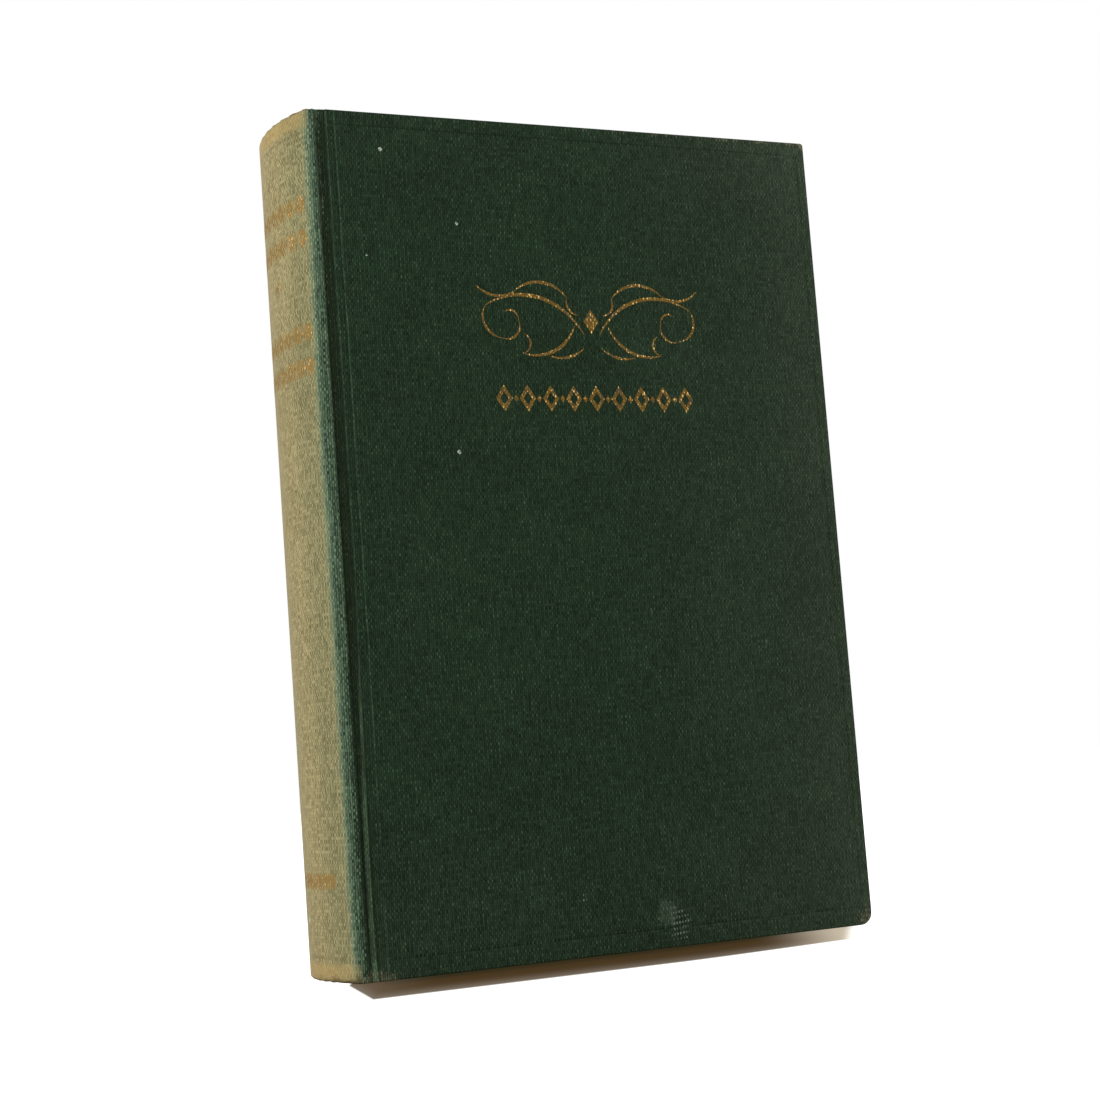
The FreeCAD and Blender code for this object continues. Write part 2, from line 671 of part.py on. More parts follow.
def gild_front(cloth):
    foil = size("foil_thick")
    faces = flourish(number("flourish_high"), number("flourish_width"), number("flourish_pen"))
    faces += lozenge_row(number("row_high"), COVER_LOZENGES, number("row_pitch"),
                         number("row_lozenge"), number("row_line"))
    middle = (JOINT + size("line_joint") + FORE - size("line_fore")) / 2
    face_on = FreeCAD.Rotation(FreeCAD.Vector(1, 0, 0), 90)
    place = FreeCAD.Placement(FreeCAD.Vector(middle.value, foil.value - HALF.value, 0), face_on)
    gilding = prisms("front_gilding", faces, foil.value, place)
    boolean("Part::Cut", "front_cloth", cloth, gilding)


def gild_spine(cloth):
    foil = size("foil_thick")
    line, small = number("spine_line"), number("foot_lozenge")
    faces = []
    for middle, lozenges in (("upper_rows_high", "upper_lozenge"), ("lower_rows_high", "lower_lozenge")):
        tall = number(lozenges)
        for way in (-1, 1):
            y = number(middle) + way * number("spine_row_pitch") / 2
            faces += lozenge_row(y, SPINE_LOZENGES, tall * PITCH_RATIO, tall, line)
    faces.append(lozenge(0, number("dot_high"), small))
    faces += lozenge_row(number("foot_row_high"), FOOT_LOZENGES, small * PITCH_RATIO, small, line)
    from_left = FreeCAD.Rotation(FreeCAD.Vector(1, 1, 1), 120)
    blocks = prisms("spine_ornament", faces, BULGE.value,
                    FreeCAD.Placement(FreeCAD.Vector(SPINE.value, 0, 0), from_left))
    skin = new_body("spine_foil_layer")
    upright_pad(skin, "foil", spine_layer(Size(0), foil), Size(0), HEIGHT)
    gilding = boolean("Part::Common", "spine_gilding", blocks, skin)
    boolean("Part::Cut", "spine_cloth", cloth, gilding)


# ---- the book -------------------------------------------------------------------------------------
NODES = (
    "text_block", "sewing_thread", "front_flyleaf", "back_flyleaf", "spine_mull", "spine_lining",
    "head_band", "tail_band", "spine_stiffener", "spine_cloth", "spine_gilding",
    "front_board", "front_cloth", "front_gilding", "front_mull_flap", "front_pastedown",
    "back_board", "back_cloth", "back_mull_flap", "back_pastedown",
)


def make_book():
    make_text_block()
    make_sewing_thread()
    make_spine_mull()
    make_spine_lining()
    make_headband("head_band", BLOCK_HEAD, 1)
    make_headband("tail_band", BLOCK_TAIL, -1)
    for word, side in (("front", FRONT), ("back", BACK)):
        make_flyleaf(f"{word}_flyleaf", side)
        make_board(f"{word}_board", side)
        make_mull_flap(f"{word}_mull_flap", side)
        make_pastedown(f"{word}_pastedown", side)
    make_spine_stiffener()
    spine_sheet = make_spine_cloth("spine_cloth_sheet")
    front_sheet = make_cover_cloth("front_cloth_sheet", FRONT)
    make_cover_cloth("back_cloth", BACK)
    doc.recompute()
    gild_front(front_sheet)
    gild_spine(spine_sheet)
    doc.recompute()


def check_and_export():
    """Stops on any failed object or shape, then writes one STEP file for each node."""
    for item in doc.Objects:
        if {"Invalid", "Error"} & set(item.State):
            raise RuntimeError(f"{item.Label} failed: {item.State}")
    shapes = {name: doc.getObjectsByLabel(name)[0].Shape for name in NODES}
    for name, shape in shapes.items():
        if shape.isNull() or not shape.isValid() or not shape.Solids:
            raise RuntimeError(f"{name} has no valid solid")
    os.makedirs("parts", exist_ok=True)
    for name, shape in shapes.items():
        shape.exportStep(f"parts/{name}.step")
        print(f"{name}: {len(shape.Solids)} solid(s), {shape.Volume:.1f} mm3")


make_book()
check_and_export()
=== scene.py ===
import math
import random

import bmesh
import bpy
from bpy.props import FloatProperty, FloatVectorProperty, IntProperty, PointerProperty
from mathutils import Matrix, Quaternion, Vector


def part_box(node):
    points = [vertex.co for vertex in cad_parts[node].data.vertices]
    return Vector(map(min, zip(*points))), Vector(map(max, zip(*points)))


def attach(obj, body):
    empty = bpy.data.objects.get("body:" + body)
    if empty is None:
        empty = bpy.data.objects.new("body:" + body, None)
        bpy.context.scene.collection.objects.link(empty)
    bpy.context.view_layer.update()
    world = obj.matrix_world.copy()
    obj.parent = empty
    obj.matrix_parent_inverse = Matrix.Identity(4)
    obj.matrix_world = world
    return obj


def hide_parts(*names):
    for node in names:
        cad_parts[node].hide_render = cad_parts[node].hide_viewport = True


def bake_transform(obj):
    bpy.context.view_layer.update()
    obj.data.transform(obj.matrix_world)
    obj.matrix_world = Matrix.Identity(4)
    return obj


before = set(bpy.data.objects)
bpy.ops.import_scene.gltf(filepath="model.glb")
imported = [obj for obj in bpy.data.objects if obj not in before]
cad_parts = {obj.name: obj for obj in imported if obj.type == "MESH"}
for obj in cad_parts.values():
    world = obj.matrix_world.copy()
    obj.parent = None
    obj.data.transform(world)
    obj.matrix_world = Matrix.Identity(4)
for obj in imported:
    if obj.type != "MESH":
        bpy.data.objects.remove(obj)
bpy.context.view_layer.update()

bl_info = {
    "name": "Cloth-bound book",
    "version": (1, 0, 0),
    "blender": (4, 5, 0),
    "location": "View3D > Sidebar > Book",
    "description": "Cloth, paper, gilding and wear for a hardback book",
    "category": "Object",
}

# ---- places that the frame gives ----
MM = 0.001
PROUD = 0.03 * MM            # the foil of the gilding above the cloth round it
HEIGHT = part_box("front_cloth")[1].z
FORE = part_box("front_cloth")[1].x
HALF = -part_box("front_cloth")[0].y - PROUD
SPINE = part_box("spine_cloth")[0].x + PROUD
CLOTH = -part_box("front_cloth")[0].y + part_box("front_board")[0].y
COVER_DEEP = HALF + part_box("front_cloth")[1].y
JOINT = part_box("front_board")[0].x - CLOTH
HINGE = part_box("front_cloth")[0].x
SHOULDER = 2 * HINGE - JOINT
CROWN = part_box("spine_stiffener")[1].x
BLOCK_LOW, BLOCK_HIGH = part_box("text_block")
LEAF_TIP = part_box("back_flyleaf")[0].x
BLOCK_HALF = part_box("back_flyleaf")[0].y
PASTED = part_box("back_pastedown")[0].y
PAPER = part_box("back_cloth")[0].y - PASTED
CLOSE = 0.01 * MM            # places nearer than this are the same
SHARP = math.radians(60)     # faces that meet at more than this make a sharp edge
FRONT, BACK = -1, 1          # the side of the middle plane, along Y
SIDES = (("front", FRONT), ("back", BACK))
OUTER, EDGE, FORE_EDGE, INNER, SEAM = range(5)      # the parts of a cloth, as it is turned in


def shade(red, green, blue):
    """Scene colour of a paint given as three numbers from 0 to 255."""
    def linear(value):
        share = value / 255
        return share / 12.92 if share <= 0.04045 else ((share + 0.055) / 1.055) ** 2.4
    return linear(red), linear(green), linear(blue)


def length(name, description, default):
    return FloatProperty(
        name=name, description=description, default=default, min=0.0, precision=5, unit="LENGTH")


def share(name, description, default):
    return FloatProperty(name=name, description=description, default=default, min=0.0, max=1.0)


def bearing(name, description, degrees):
    return FloatProperty(
        name=name, description=description, default=math.radians(degrees), subtype="ANGLE")


def colour(name, description, default):
    return FloatVectorProperty(
        name=name, description=description, default=default, size=3, min=0.0, max=1.0,
        subtype="COLOR")


# ---- settings ----
class CaseSettings(bpy.types.PropertyGroup):
    """Sizes of the case that the frame's boxes don't give."""
    groove_depth: length("Groove depth", "From the cover's face to the floor of the joint", 1.35 * MM)
    groove_round: length("Groove round", "Inner corners of the joint", 0.6 * MM)
    groove_ease: share("Groove ease", "Share of its depth that the joint loses at the head and tail", 0.7)
    seam: bearing("Seam", "How far round the shoulder the spine's piece of cloth ends", 60)
    edge_round: length("Edge round", "Cloth over a board's edges", 0.44 * MM)
    joint_round: length("Joint edge round", "Cloth over the board's edge at the joint", 0.6 * MM)
    shoulder_round: length("Shoulder round", "Cloth over the spine's shoulder", 2.4 * MM)
    end_round: length("Spine end round", "Worn cloth over the spine's head and tail", 0.75 * MM)
    card: length("Spine card", "Thickness of the spine's card", 0.8 * MM)
    tail_corner: length("Tail corner", "Worn round of the covers' tail corners", 3.2 * MM)
    head_corner: length("Head corner", "Round of the covers' head corners", 0.8 * MM)
    turn_in: length("Turn-in", "Cloth turned in over the boards", 15.0 * MM)
    spine_turn_in: length("Spine turn-in", "Cloth turned in over the spine's card", 12.0 * MM)
    mull_flap: length("Mull flap", "Mull under the endpaper, over the board", 25.0 * MM)
    line_width: length("Frame line width", "Blind line round the front cover", 0.5 * MM)
    line_depth: length("Frame line depth", "How deep the blind line is pressed", 0.2 * MM)
    line_joint: length("Frame line from the joint", "Distance from the joint edge", 2.0 * MM)
    line_fore: length("Frame line from the fore-edge", "Distance from the fore-edge", 2.4 * MM)
    line_head: length("Frame line from the head", "Distance from the head edge", 3.4 * MM)
    line_tail: length("Frame line from the tail", "Distance from the tail edge", 4.4 * MM)
    fray: length("Fray", "Unevenness of the spine's worn head and tail", 0.22 * MM)


class BlockSettings(bpy.types.PropertyGroup):
    """Sizes and colours of the leaves."""
    gatherings: IntProperty(name="Gatherings", description="Folded sections sewn together", default=22, min=2)
    hollow: length("Hollow", "How far the fore-edge is rounded in", 3.2 * MM)
    flare: length("Flare", "How far the shoulders stand out", 1.2 * MM)
    crease: length("Crease", "Round of a gathering's edges", 0.07 * MM)
    leaf: length("Leaf", "Thickness of one leaf", 0.1 * MM)
    paper: colour("Paper", "Face of a leaf", shade(226, 214, 184))
    edge: colour("Paper edge", "Cut edges of the leaves", shade(205, 184, 142))
    dust: colour("Dust", "Dirt on the cut edges", shade(128, 104, 74))
    foxing: colour("Foxing", "Spots on the endpapers", shade(176, 128, 76))


class ClothSettings(bpy.types.PropertyGroup):
    """Weave and colours of the cloth."""
    upright: length("Upright pitch", "From one upright thread to the next", 0.52 * MM)
    level: length("Level pitch", "From one level thread to the next", 0.76 * MM)
    relief: length("Thread relief", "Height of a thread over the gaps", 0.09 * MM)
    green: colour("Green", "Cloth as it was dyed", shade(27, 44, 27))
    # Thread tops: partly rubbed, partly a painted highlight. The gap colours below are painted shade between
    # the threads.
    lit_thread_top: colour("Thread top", "Rubbed tops of the green threads", shade(53, 72, 54))
    gap: colour("Thread gap", "Between the threads", shade(11, 23, 12))
    # Dusty cloth: dust and a painted sheen towards the fore-edge and the head
    dusty: colour("Dusty cloth", "Cloth along the fore-edge, dulled by dust", shade(92, 100, 84))
    faded: colour("Faded cloth", "Cloth of the spine, faded by light", shade(190, 176, 129))
    faded_gap_shade: colour("Faded gap", "Between its threads", shade(118, 109, 73))
    half_faded: colour("Half-faded cloth", "Cloth of the spine's side", shade(162, 155, 113))
    half_faded_gap_shade: colour("Half-faded gap", "Between its threads", shade(100, 97, 65))
    # Sunned cloth: fading and painted light, on the spine's half towards the back cover
    sunned_and_lit: colour("Sunned cloth", "Palest cloth of the spine", shade(226, 204, 160))
    residue: colour("Foil residue", "Worn foil between the spine's ornaments", shade(150, 118, 58))
    yellowed: colour("Yellowed cloth", "Faded cloth at the spine's head and tail", shade(186, 158, 100))
    pale_green: colour("Pale green", "Threads between the faded and the green cloth", shade(108, 132, 106))
    # Rubbed cloth: rubbing and a painted highlight along the joint and the blind line
    rubbed: colour("Rubbed cloth", "Green cloth where it is rubbed", shade(104, 134, 104))
    worn: colour("Worn cloth", "Bare threads at corners and ends", shade(130, 120, 94))
    # Soiled cloth: dirt at the spine's ends, and painted shade in the joint's groove
    dirt_and_shade: colour("Soiled cloth", "Dirt along worn edges", shade(46, 34, 22))
    bronze: colour("Bronze", "Tarnished foil of the gilding", shade(88, 66, 22))
    # Gold: painted glints on the foil
    gold: colour("Gold", "Foil where it still shines", shade(232, 192, 118))
    fleck: colour("Fleck", "Pale specks on the cover", shade(196, 206, 190))


class StageSettings(bpy.types.PropertyGroup):
    """Camera and lamps."""
    lens: FloatProperty(name="Lens", description="Focal length in millimetres", default=69.0, min=1.0)
    distance: length("Distance", "From the camera to the point it looks at", 0.5121)
    azimuth: bearing("Azimuth", "How far round towards the spine the camera stands", 25.86)
    elevation: bearing("Elevation", "How far up the camera looks", 6.09)
    roll: bearing("Roll", "How far the camera leans to its right", 4.33)
    aside: FloatProperty(
        name="Aside", description="From the middle of the front cover's face to the point looked at, along X",
        default=-12.15 * MM, unit="LENGTH")
    lower: length("Lower", "From the middle of the cover down to the point looked at", 4.5 * MM)
    sky: FloatProperty(name="Sky", description="Light from all round", default=0.6, min=0.0)
    key: FloatProperty(name="Key", description="Power of the large soft lamp, in watts", default=9.0, min=0.0)


class BookSettings(bpy.types.PropertyGroup):
    """All the settings of the book."""
    case: PointerProperty(type=CaseSettings, name="Case", description="Sizes of the case")
    block: PointerProperty(type=BlockSettings, name="Block", description="Leaves")
    cloth: PointerProperty(type=ClothSettings, name="Cloth", description="Weave and colours")
    stage: PointerProperty(type=StageSettings, name="Stage", description="Camera and lamps")


# ---- modelling helpers ----
def vertices(geometry):
    return [item for item in geometry if isinstance(item, bmesh.types.BMVert)]


def raise_faces(bm, faces, high):
    """Raises flat faces into walls and a top, and keeps them as the bottom."""
    raised = bmesh.ops.extrude_face_region(bm, geom=faces, use_keep_orig=True)["geom"]
    bmesh.ops.translate(bm, verts=vertices(raised), vec=(0, 0, high))


class Pen:
    """Draws an outline in plan as straight runs and arcs, and marks the runs with a part of the cloth."""

    def __init__(self, bm, x, y):
        self.bm = bm
        self.tip = self.start = bmesh.ops.create_vert(bm, co=(x, y, 0.0))["vert"][0]
        self.part = OUTER
        self.parts = {}

    def mark(self, before):
        for edge in set(self.bm.edges) - before:
            self.parts[edge] = self.part

    def line(self, x, y):
        before = set(self.bm.edges)
        self.tip = bmesh.ops.extrude_vert_indiv(self.bm, verts=[self.tip])["verts"][0]
        self.tip.co = (x, y, 0.0)
        self.mark(before)

    def arc(self, x, y, degrees, steps):
        before = set(self.bm.edges)
        made = bmesh.ops.spin(
            self.bm, geom=[self.tip], cent=(x, y, 0.0), axis=(0, 0, 1),
            angle=math.radians(degrees), steps=steps, use_duplicate=False)
        self.tip = vertices(made["geom_last"])[0]
        self.mark(before)

    def prism(self, high):
        """Closes the outline with a seam, raises it to a height and opens its seams."""
        self.parts[self.bm.edges.new((self.tip, self.start))] = SEAM
        bmesh.ops.contextual_create(self.bm, geom=self.bm.edges[:])
        part = self.bm.faces.layers.int.new("part")
        raise_faces(self.bm, self.bm.faces[:], high)
        bmesh.ops.recalc_face_normals(self.bm, faces=self.bm.faces[:])
        for face in self.bm.faces:
            if abs(face.normal.z) > 0.5:
                face[part] = EDGE
        for edge, number in self.parts.items():
            for face in edge.link_faces:
                if abs(face.normal.z) < 0.5:
                    face[part] = number
        seams = [face for face in self.bm.faces if face[part] == SEAM]
        bmesh.ops.delete(self.bm, geom=seams, context="FACES_ONLY")


def near(value, target):
    return abs(value - target) < CLOSE


def cut(bm, axis, places):
    """Cuts all of a mesh by planes across one axis."""
    normal = Vector([1.0 if number == axis else 0.0 for number in range(3)])
    for place in places:
        bmesh.ops.bisect_plane(
            bm, geom=bm.verts[:] + bm.edges[:] + bm.faces[:], dist=1e-7, plane_co=normal * place,
            plane_no=normal)


def steps(low, high, pitch):
    """Evenly spaced places between two ends, about a pitch apart."""
    count = max(1, round((high - low) / pitch))
    return [low + (high - low) * number / count for number in range(1, count)]


def sharp_edges(bm):
    return [edge for edge in bm.edges if edge.calc_face_angle(0.0) > SHARP]


def rim_edges(bm):
    """Sharp edges round a board or a card: those across Z, and the upright ones at the fore-edge."""
    rim = []
    for edge in sharp_edges(bm):
        first, second = (vert.co for vert in edge.verts)
        if abs(first.z - second.z) < MM or near(first.x, FORE) and near(second.x, FORE):
            rim.append(edge)
    return rim


def bevel(bm, edges, offset, segments):
    bmesh.ops.bevel(
        bm, geom=edges, offset=offset, offset_type="OFFSET", segments=segments, profile=0.5,
        affect="EDGES", material=-1, clamp_overlap=False)


def mirror_to_front(bm):
    """Turns a piece made for the back cover, at +Y, into the front cover's."""
    bmesh.ops.scale(bm, vec=(1, -1, 1), verts=bm.verts[:])
    bmesh.ops.reverse_faces(bm, faces=bm.faces[:])


def finish_piece(bm, name, material, smooth=True, thickness=None, flat_faces=False):
    """Makes an object of a mesh that is in place.

    A sheet gets its thickness away from the side that its faces show, and flat faces can be kept flat
    beside small rounds.
    """
    for face in bm.faces:
        face.smooth = smooth
    for edge in bm.edges:
        edge.smooth = not edge.is_boundary
    mesh = bpy.data.meshes.new(name)
    bm.to_mesh(mesh)
    bm.free()
    mesh.materials.append(material)
    piece = bpy.data.objects.new(name, mesh)
    bpy.context.scene.collection.objects.link(piece)
    if thickness is not None:
        wall = piece.modifiers.new("Thickness", "SOLIDIFY")
        wall.thickness = thickness
        wall.offset = -1.0
        wall.use_even_offset = True
        wall.thickness_clamp = 1.0
    if flat_faces:
        piece.modifiers.new("Flat faces", "WEIGHTED_NORMAL").keep_sharp = True
    return piece


# ---- finishes ----
class Field:
    """A number that varies over a surface. Arithmetic on it adds Math nodes."""

    def __init__(self, shader, socket):
        self.shader = shader
        self.socket = socket

    def __add__(self, other):
        return self.shader.math("ADD", self, other)

    def __sub__(self, other):
        return self.shader.math("SUBTRACT", self, other)

    def __rsub__(self, other):
        return self.shader.math("SUBTRACT", other, self)

    def __mul__(self, other):
        return self.shader.math("MULTIPLY", self, other)

    def __truediv__(self, other):
        return self.shader.math("DIVIDE", self, other)

    __radd__, __rmul__ = __add__, __mul__


class Nodes:
    """A node tree, with short calls for the nodes that the finishes share."""

    def __init__(self, tree):
        self.tree = tree

    def feed(self, socket, value):
        if isinstance(value, Field):
            value = value.socket
        if isinstance(value, bpy.types.NodeSocket):
            self.tree.links.new(value, socket)
        elif hasattr(value, "__len__") and len(socket.default_value) == 4:
            socket.default_value = (*value, 1.0)
        else:
            socket.default_value = value

    def node(self, kind, inputs, output=0, **settings):
        """Adds a node, feeds its inputs and returns one of its outputs."""
        node = self.tree.nodes.new(kind)
        for key, value in settings.items():
            setattr(node, key, value)
        for key, value in inputs.items():
            self.feed(node.inputs[key], value)
        return node.outputs[output]

    def math(self, operation, *values):
        return Field(self, self.node("ShaderNodeMath", dict(enumerate(values)), operation=operation))

    def size(self, value):
        return self.math("ABSOLUTE", value)

    def most(self, first, *others):
        """Largest of some numbers."""
        for other in others:
            first = self.math("MAXIMUM", first, other)
        return first

    def vector(self, x, y, z=0.0):
        return self.node("ShaderNodeCombineXYZ", {"X": x, "Y": y, "Z": z})

    def noise(self, vector, scale=1.0, detail=2.0, roughness=0.5):
        """Smooth noise, mostly between 0.25 and 0.75."""
        inputs = {"Vector": vector, "Scale": scale, "Detail": detail, "Roughness": roughness}
        return Field(self, self.node("ShaderNodeTexNoise", inputs))

    def grain(self, across, along, pitch, tall=None, **settings):
        """Noise over a sheet, in patches about a pitch across and as tall, or as tall as is given."""
        return self.noise(self.vector(across / pitch, along / (tall or pitch)), **settings)

    def scatter(self, vector):
        """A number from 0 to 1 that is different at each place."""
        inputs = {"Vector": vector}
        return Field(self, self.node("ShaderNodeTexWhiteNoise", inputs, noise_dimensions="2D"))

    def line(self, place, middle, half):
        """1 on the middle of a line and 0 beyond half its width."""
        return self.ramp(self.size(place - middle), half, half * 0.4)

    def ramp(self, value, low, high, start=0.0, end=1.0):
        """Smooth step from start to end as a value goes from low to high."""
        inputs = {"Value": value, "From Min": low, "From Max": high, "To Min": start, "To Max": end}
        return Field(self, self.node("ShaderNodeMapRange", inputs, interpolation_type="SMOOTHSTEP"))

    def mix(self, factor, first, second):
        """Blend of two colours."""
        inputs = {0: factor, 6: first, 7: second}
        return self.node("ShaderNodeMix", inputs, output=2, data_type="RGBA")

    def layers(self, colours, *coats):
        """Lays further colours over some, each with its share."""
        for factor, coat in coats:
            colours = self.mix(factor, colours, coat)
        return colours

    def blend(self, factor, first, second):
        """Blend of two numbers."""
        return first + (second - first) * factor

    def coordinates(self, place):
        parts = self.tree.nodes.new("ShaderNodeSeparateXYZ")
        self.feed(parts.inputs[0], place)
        return [Field(self, output) for output in parts.outputs]

    def sheet_place(self):
        """The two coordinates along a sheet's own threads, in metres."""
        return self.coordinates(self.node("ShaderNodeUVMap", {}, uv_map="Sheet"))[:2]

    def object_place(self):
        """The three coordinates of the object, in metres."""
        return self.coordinates(self.tree.nodes.new("ShaderNodeTexCoord").outputs["Object"])

    def seen_directly(self):
        """1 for rays from the camera and for reflections, 0 for rays that light the book."""
        path = self.tree.nodes.new("ShaderNodeLightPath")
        rays = ("Is Camera Ray", "Is Glossy Ray", "Is Transmission Ray")
        return self.most(*(Field(self, path.outputs[name]) for name in rays))


class Shader(Nodes):
    """A node material."""

    def __init__(self, name, roughness=0.8, specular=0.3):
        self.material = bpy.data.materials.new(name)
        self.material.use_nodes = True
        super().__init__(self.material.node_tree)
        self.surface = self.tree.nodes["Principled BSDF"]
        self.surface.inputs["Roughness"].default_value = roughness
        self.surface.inputs["Specular IOR Level"].default_value = specular

    def bump(self, height, distance):
        bump = self.node("ShaderNodeBump", {"Height": height, "Distance": distance})
        self.feed(self.surface.inputs["Normal"], bump)

    def paint(self, base, roughness=None):
        self.feed(self.surface.inputs["Base Color"], base)
        if roughness is not None:
            self.feed(self.surface.inputs["Roughness"], roughness)
        return self.material


def weave(shader, across, along, upright_pitch, level_pitch):
    """Plain weave: height of the threads from 0 to 1, and the tone of the thread on top."""
    drift = shader.vector(across / (14 * MM), along / (14 * MM))
    column = across / upright_pitch + (shader.noise(drift, detail=4.0) - 0.5) * 2.4
    row = along / level_pitch + (shader.noise(drift, scale=1.3, detail=4.0) - 0.5) * 1.6
    left = (shader.math("FRACT", column) - 0.5) * 2.0
    down = (shader.math("FRACT", row) - 0.5) * 2.0
    column_number = shader.math("FLOOR", column)
    row_number = shader.math("FLOOR", row)
    over = shader.math("FRACT", (column_number + row_number) * 0.5) * 2.0
    upright = (1.0 - left * left) * (1.0 - down * down * 0.15)
    level = (1.0 - down * down * 0.2) * (0.6 - left * left * 0.4)
    height = shader.blend(over, level, upright)
    stronger = shader.math("FRACT", column_number * 0.5) * 2.0 - 0.5
    uneven = shader.scatter(shader.vector(column_number, row_number)) - 0.5
    upright_tone = shader.noise(shader.vector(column_number * 0.71, row * 0.17), detail=3.0)
    level_tone = shader.noise(shader.vector(column * 0.17, row_number * 0.71, 7.0), detail=3.0)
    tone = shader.blend(over, level_tone * 0.6 + 0.2, upright_tone)
    return height, tone + stronger * 0.08 + uneven * 0.3


def spot(shader, across, along, x, z, radius, stretch=1.0):
    """1 inside a small uneven spot on the cover and 0 outside it."""
    sideways = (across - x) * stretch
    upwards = along - z
    distance = shader.math("SQRT", sideways * sideways + upwards * upwards)
    ragged = shader.grain(across, along, 1.1 * MM, detail=3.0)
    return shader.ramp(distance + (ragged - 0.5) * radius * 1.4, radius * 1.15, radius * 0.75)


def cloth_colours(shader, cloth, across, along, faded, worn):
    """Colour of the woven cloth where it is faded and worn by the given shares, with painted shade between
    the threads and painted highlights on their tops.
    """
    height, tone = weave(shader, across, along, cloth.upright, cloth.level)
    patches = shader.grain(across, along, 26 * MM, detail=4.0)
    # lit: painted light and shade over the weave, from the threads' height and tone
    lit = height * 0.65 + (tone - 0.5) * 1.1 + (patches - 0.5) * 0.3
    green = shader.mix(shader.ramp(lit, 0.0, 0.5), cloth.gap, cloth.green)
    green = shader.mix(shader.ramp(lit, 0.4, 1.15), green, cloth.lit_thread_top)
    most = shader.ramp(faded, 0.8, 1.0)
    tops = shader.ramp(lit, 0.0, 0.75)
    bare = shader.mix(
        most, shader.mix(tops, cloth.half_faded_gap_shade, cloth.half_faded),
        shader.mix(tops, cloth.faded_gap_shade, cloth.faded))
    colours = shader.layers(
        green, (shader.ramp(faded * 1.3 + lit * 0.5, 0.35, 1.15), cloth.pale_green),
        (shader.ramp(faded * 1.6 + lit * 0.3, 0.75, 1.35), bare),
        (shader.ramp(worn * 1.1 + lit * 0.5, 0.5, 1.5), cloth.worn))
    return colours, height, lit


def edge_wear(shader, across, along):
    """Wear of a cover's cloth: most at the corners, less along the head, the tail and the fore-edge."""
    out = shader.ramp(across, FORE - 1.2 * MM, FORE + 0.3 * MM)
    low = shader.ramp(along, 0.9 * MM, -0.3 * MM)
    high = shader.ramp(along, HEIGHT - 1.5 * MM, HEIGHT - 0.6 * MM)
    ragged = shader.grain(across, along, 5 * MM, detail=5.0, roughness=0.7)
    high = high * shader.ramp(across, -20 * MM, FORE - 12 * MM, 0.45, 0.9)
    rim = shader.most(out * 0.55, low * 0.45, high)
    tail_corner = spot(shader, across, along, FORE + MM, -MM, 8.5 * MM) * 0.35
    tail_corner = tail_corner + spot(shader, across, along, FORE + MM, -MM, 5 * MM) * 0.3
    head_corner = spot(shader, across, along, FORE, HEIGHT, 2.3 * MM) * 0.75
    joint_foot = spot(shader, across, along, SHOULDER, -0.5 * MM, 3.4 * MM, 0.4) * 0.5
    return shader.most(tail_corner, head_corner, joint_foot, rim * shader.ramp(ragged, 0.35, 0.7))


def rubbed_and_lit_lines(shader, case, across, along):
    """Light lines along the joint's edge and beside the blind line: partly rubbing, partly a painted
    highlight on the lit sides of the relief.
    """
    low = shader.ramp(along, 85 * MM, 60 * MM)
    shift = shader.ramp(along, 110 * MM, 20 * MM) * 2.5 * MM
    ridge = shader.line(across, JOINT + 0.35 * MM - shift, 0.4 * MM + low * 0.45 * MM)
    beside = JOINT + case.line_joint + case.line_width - shift * 0.15
    line = shader.line(across, beside, 0.32 * MM)
    broken = shader.grain(across, along, 2 * MM, 9 * MM, detail=4.0)
    return (ridge * (low * 0.3 + 0.12) + line * 0.14) * shader.ramp(broken, 0.3, 0.6, 0.4, 1.2)


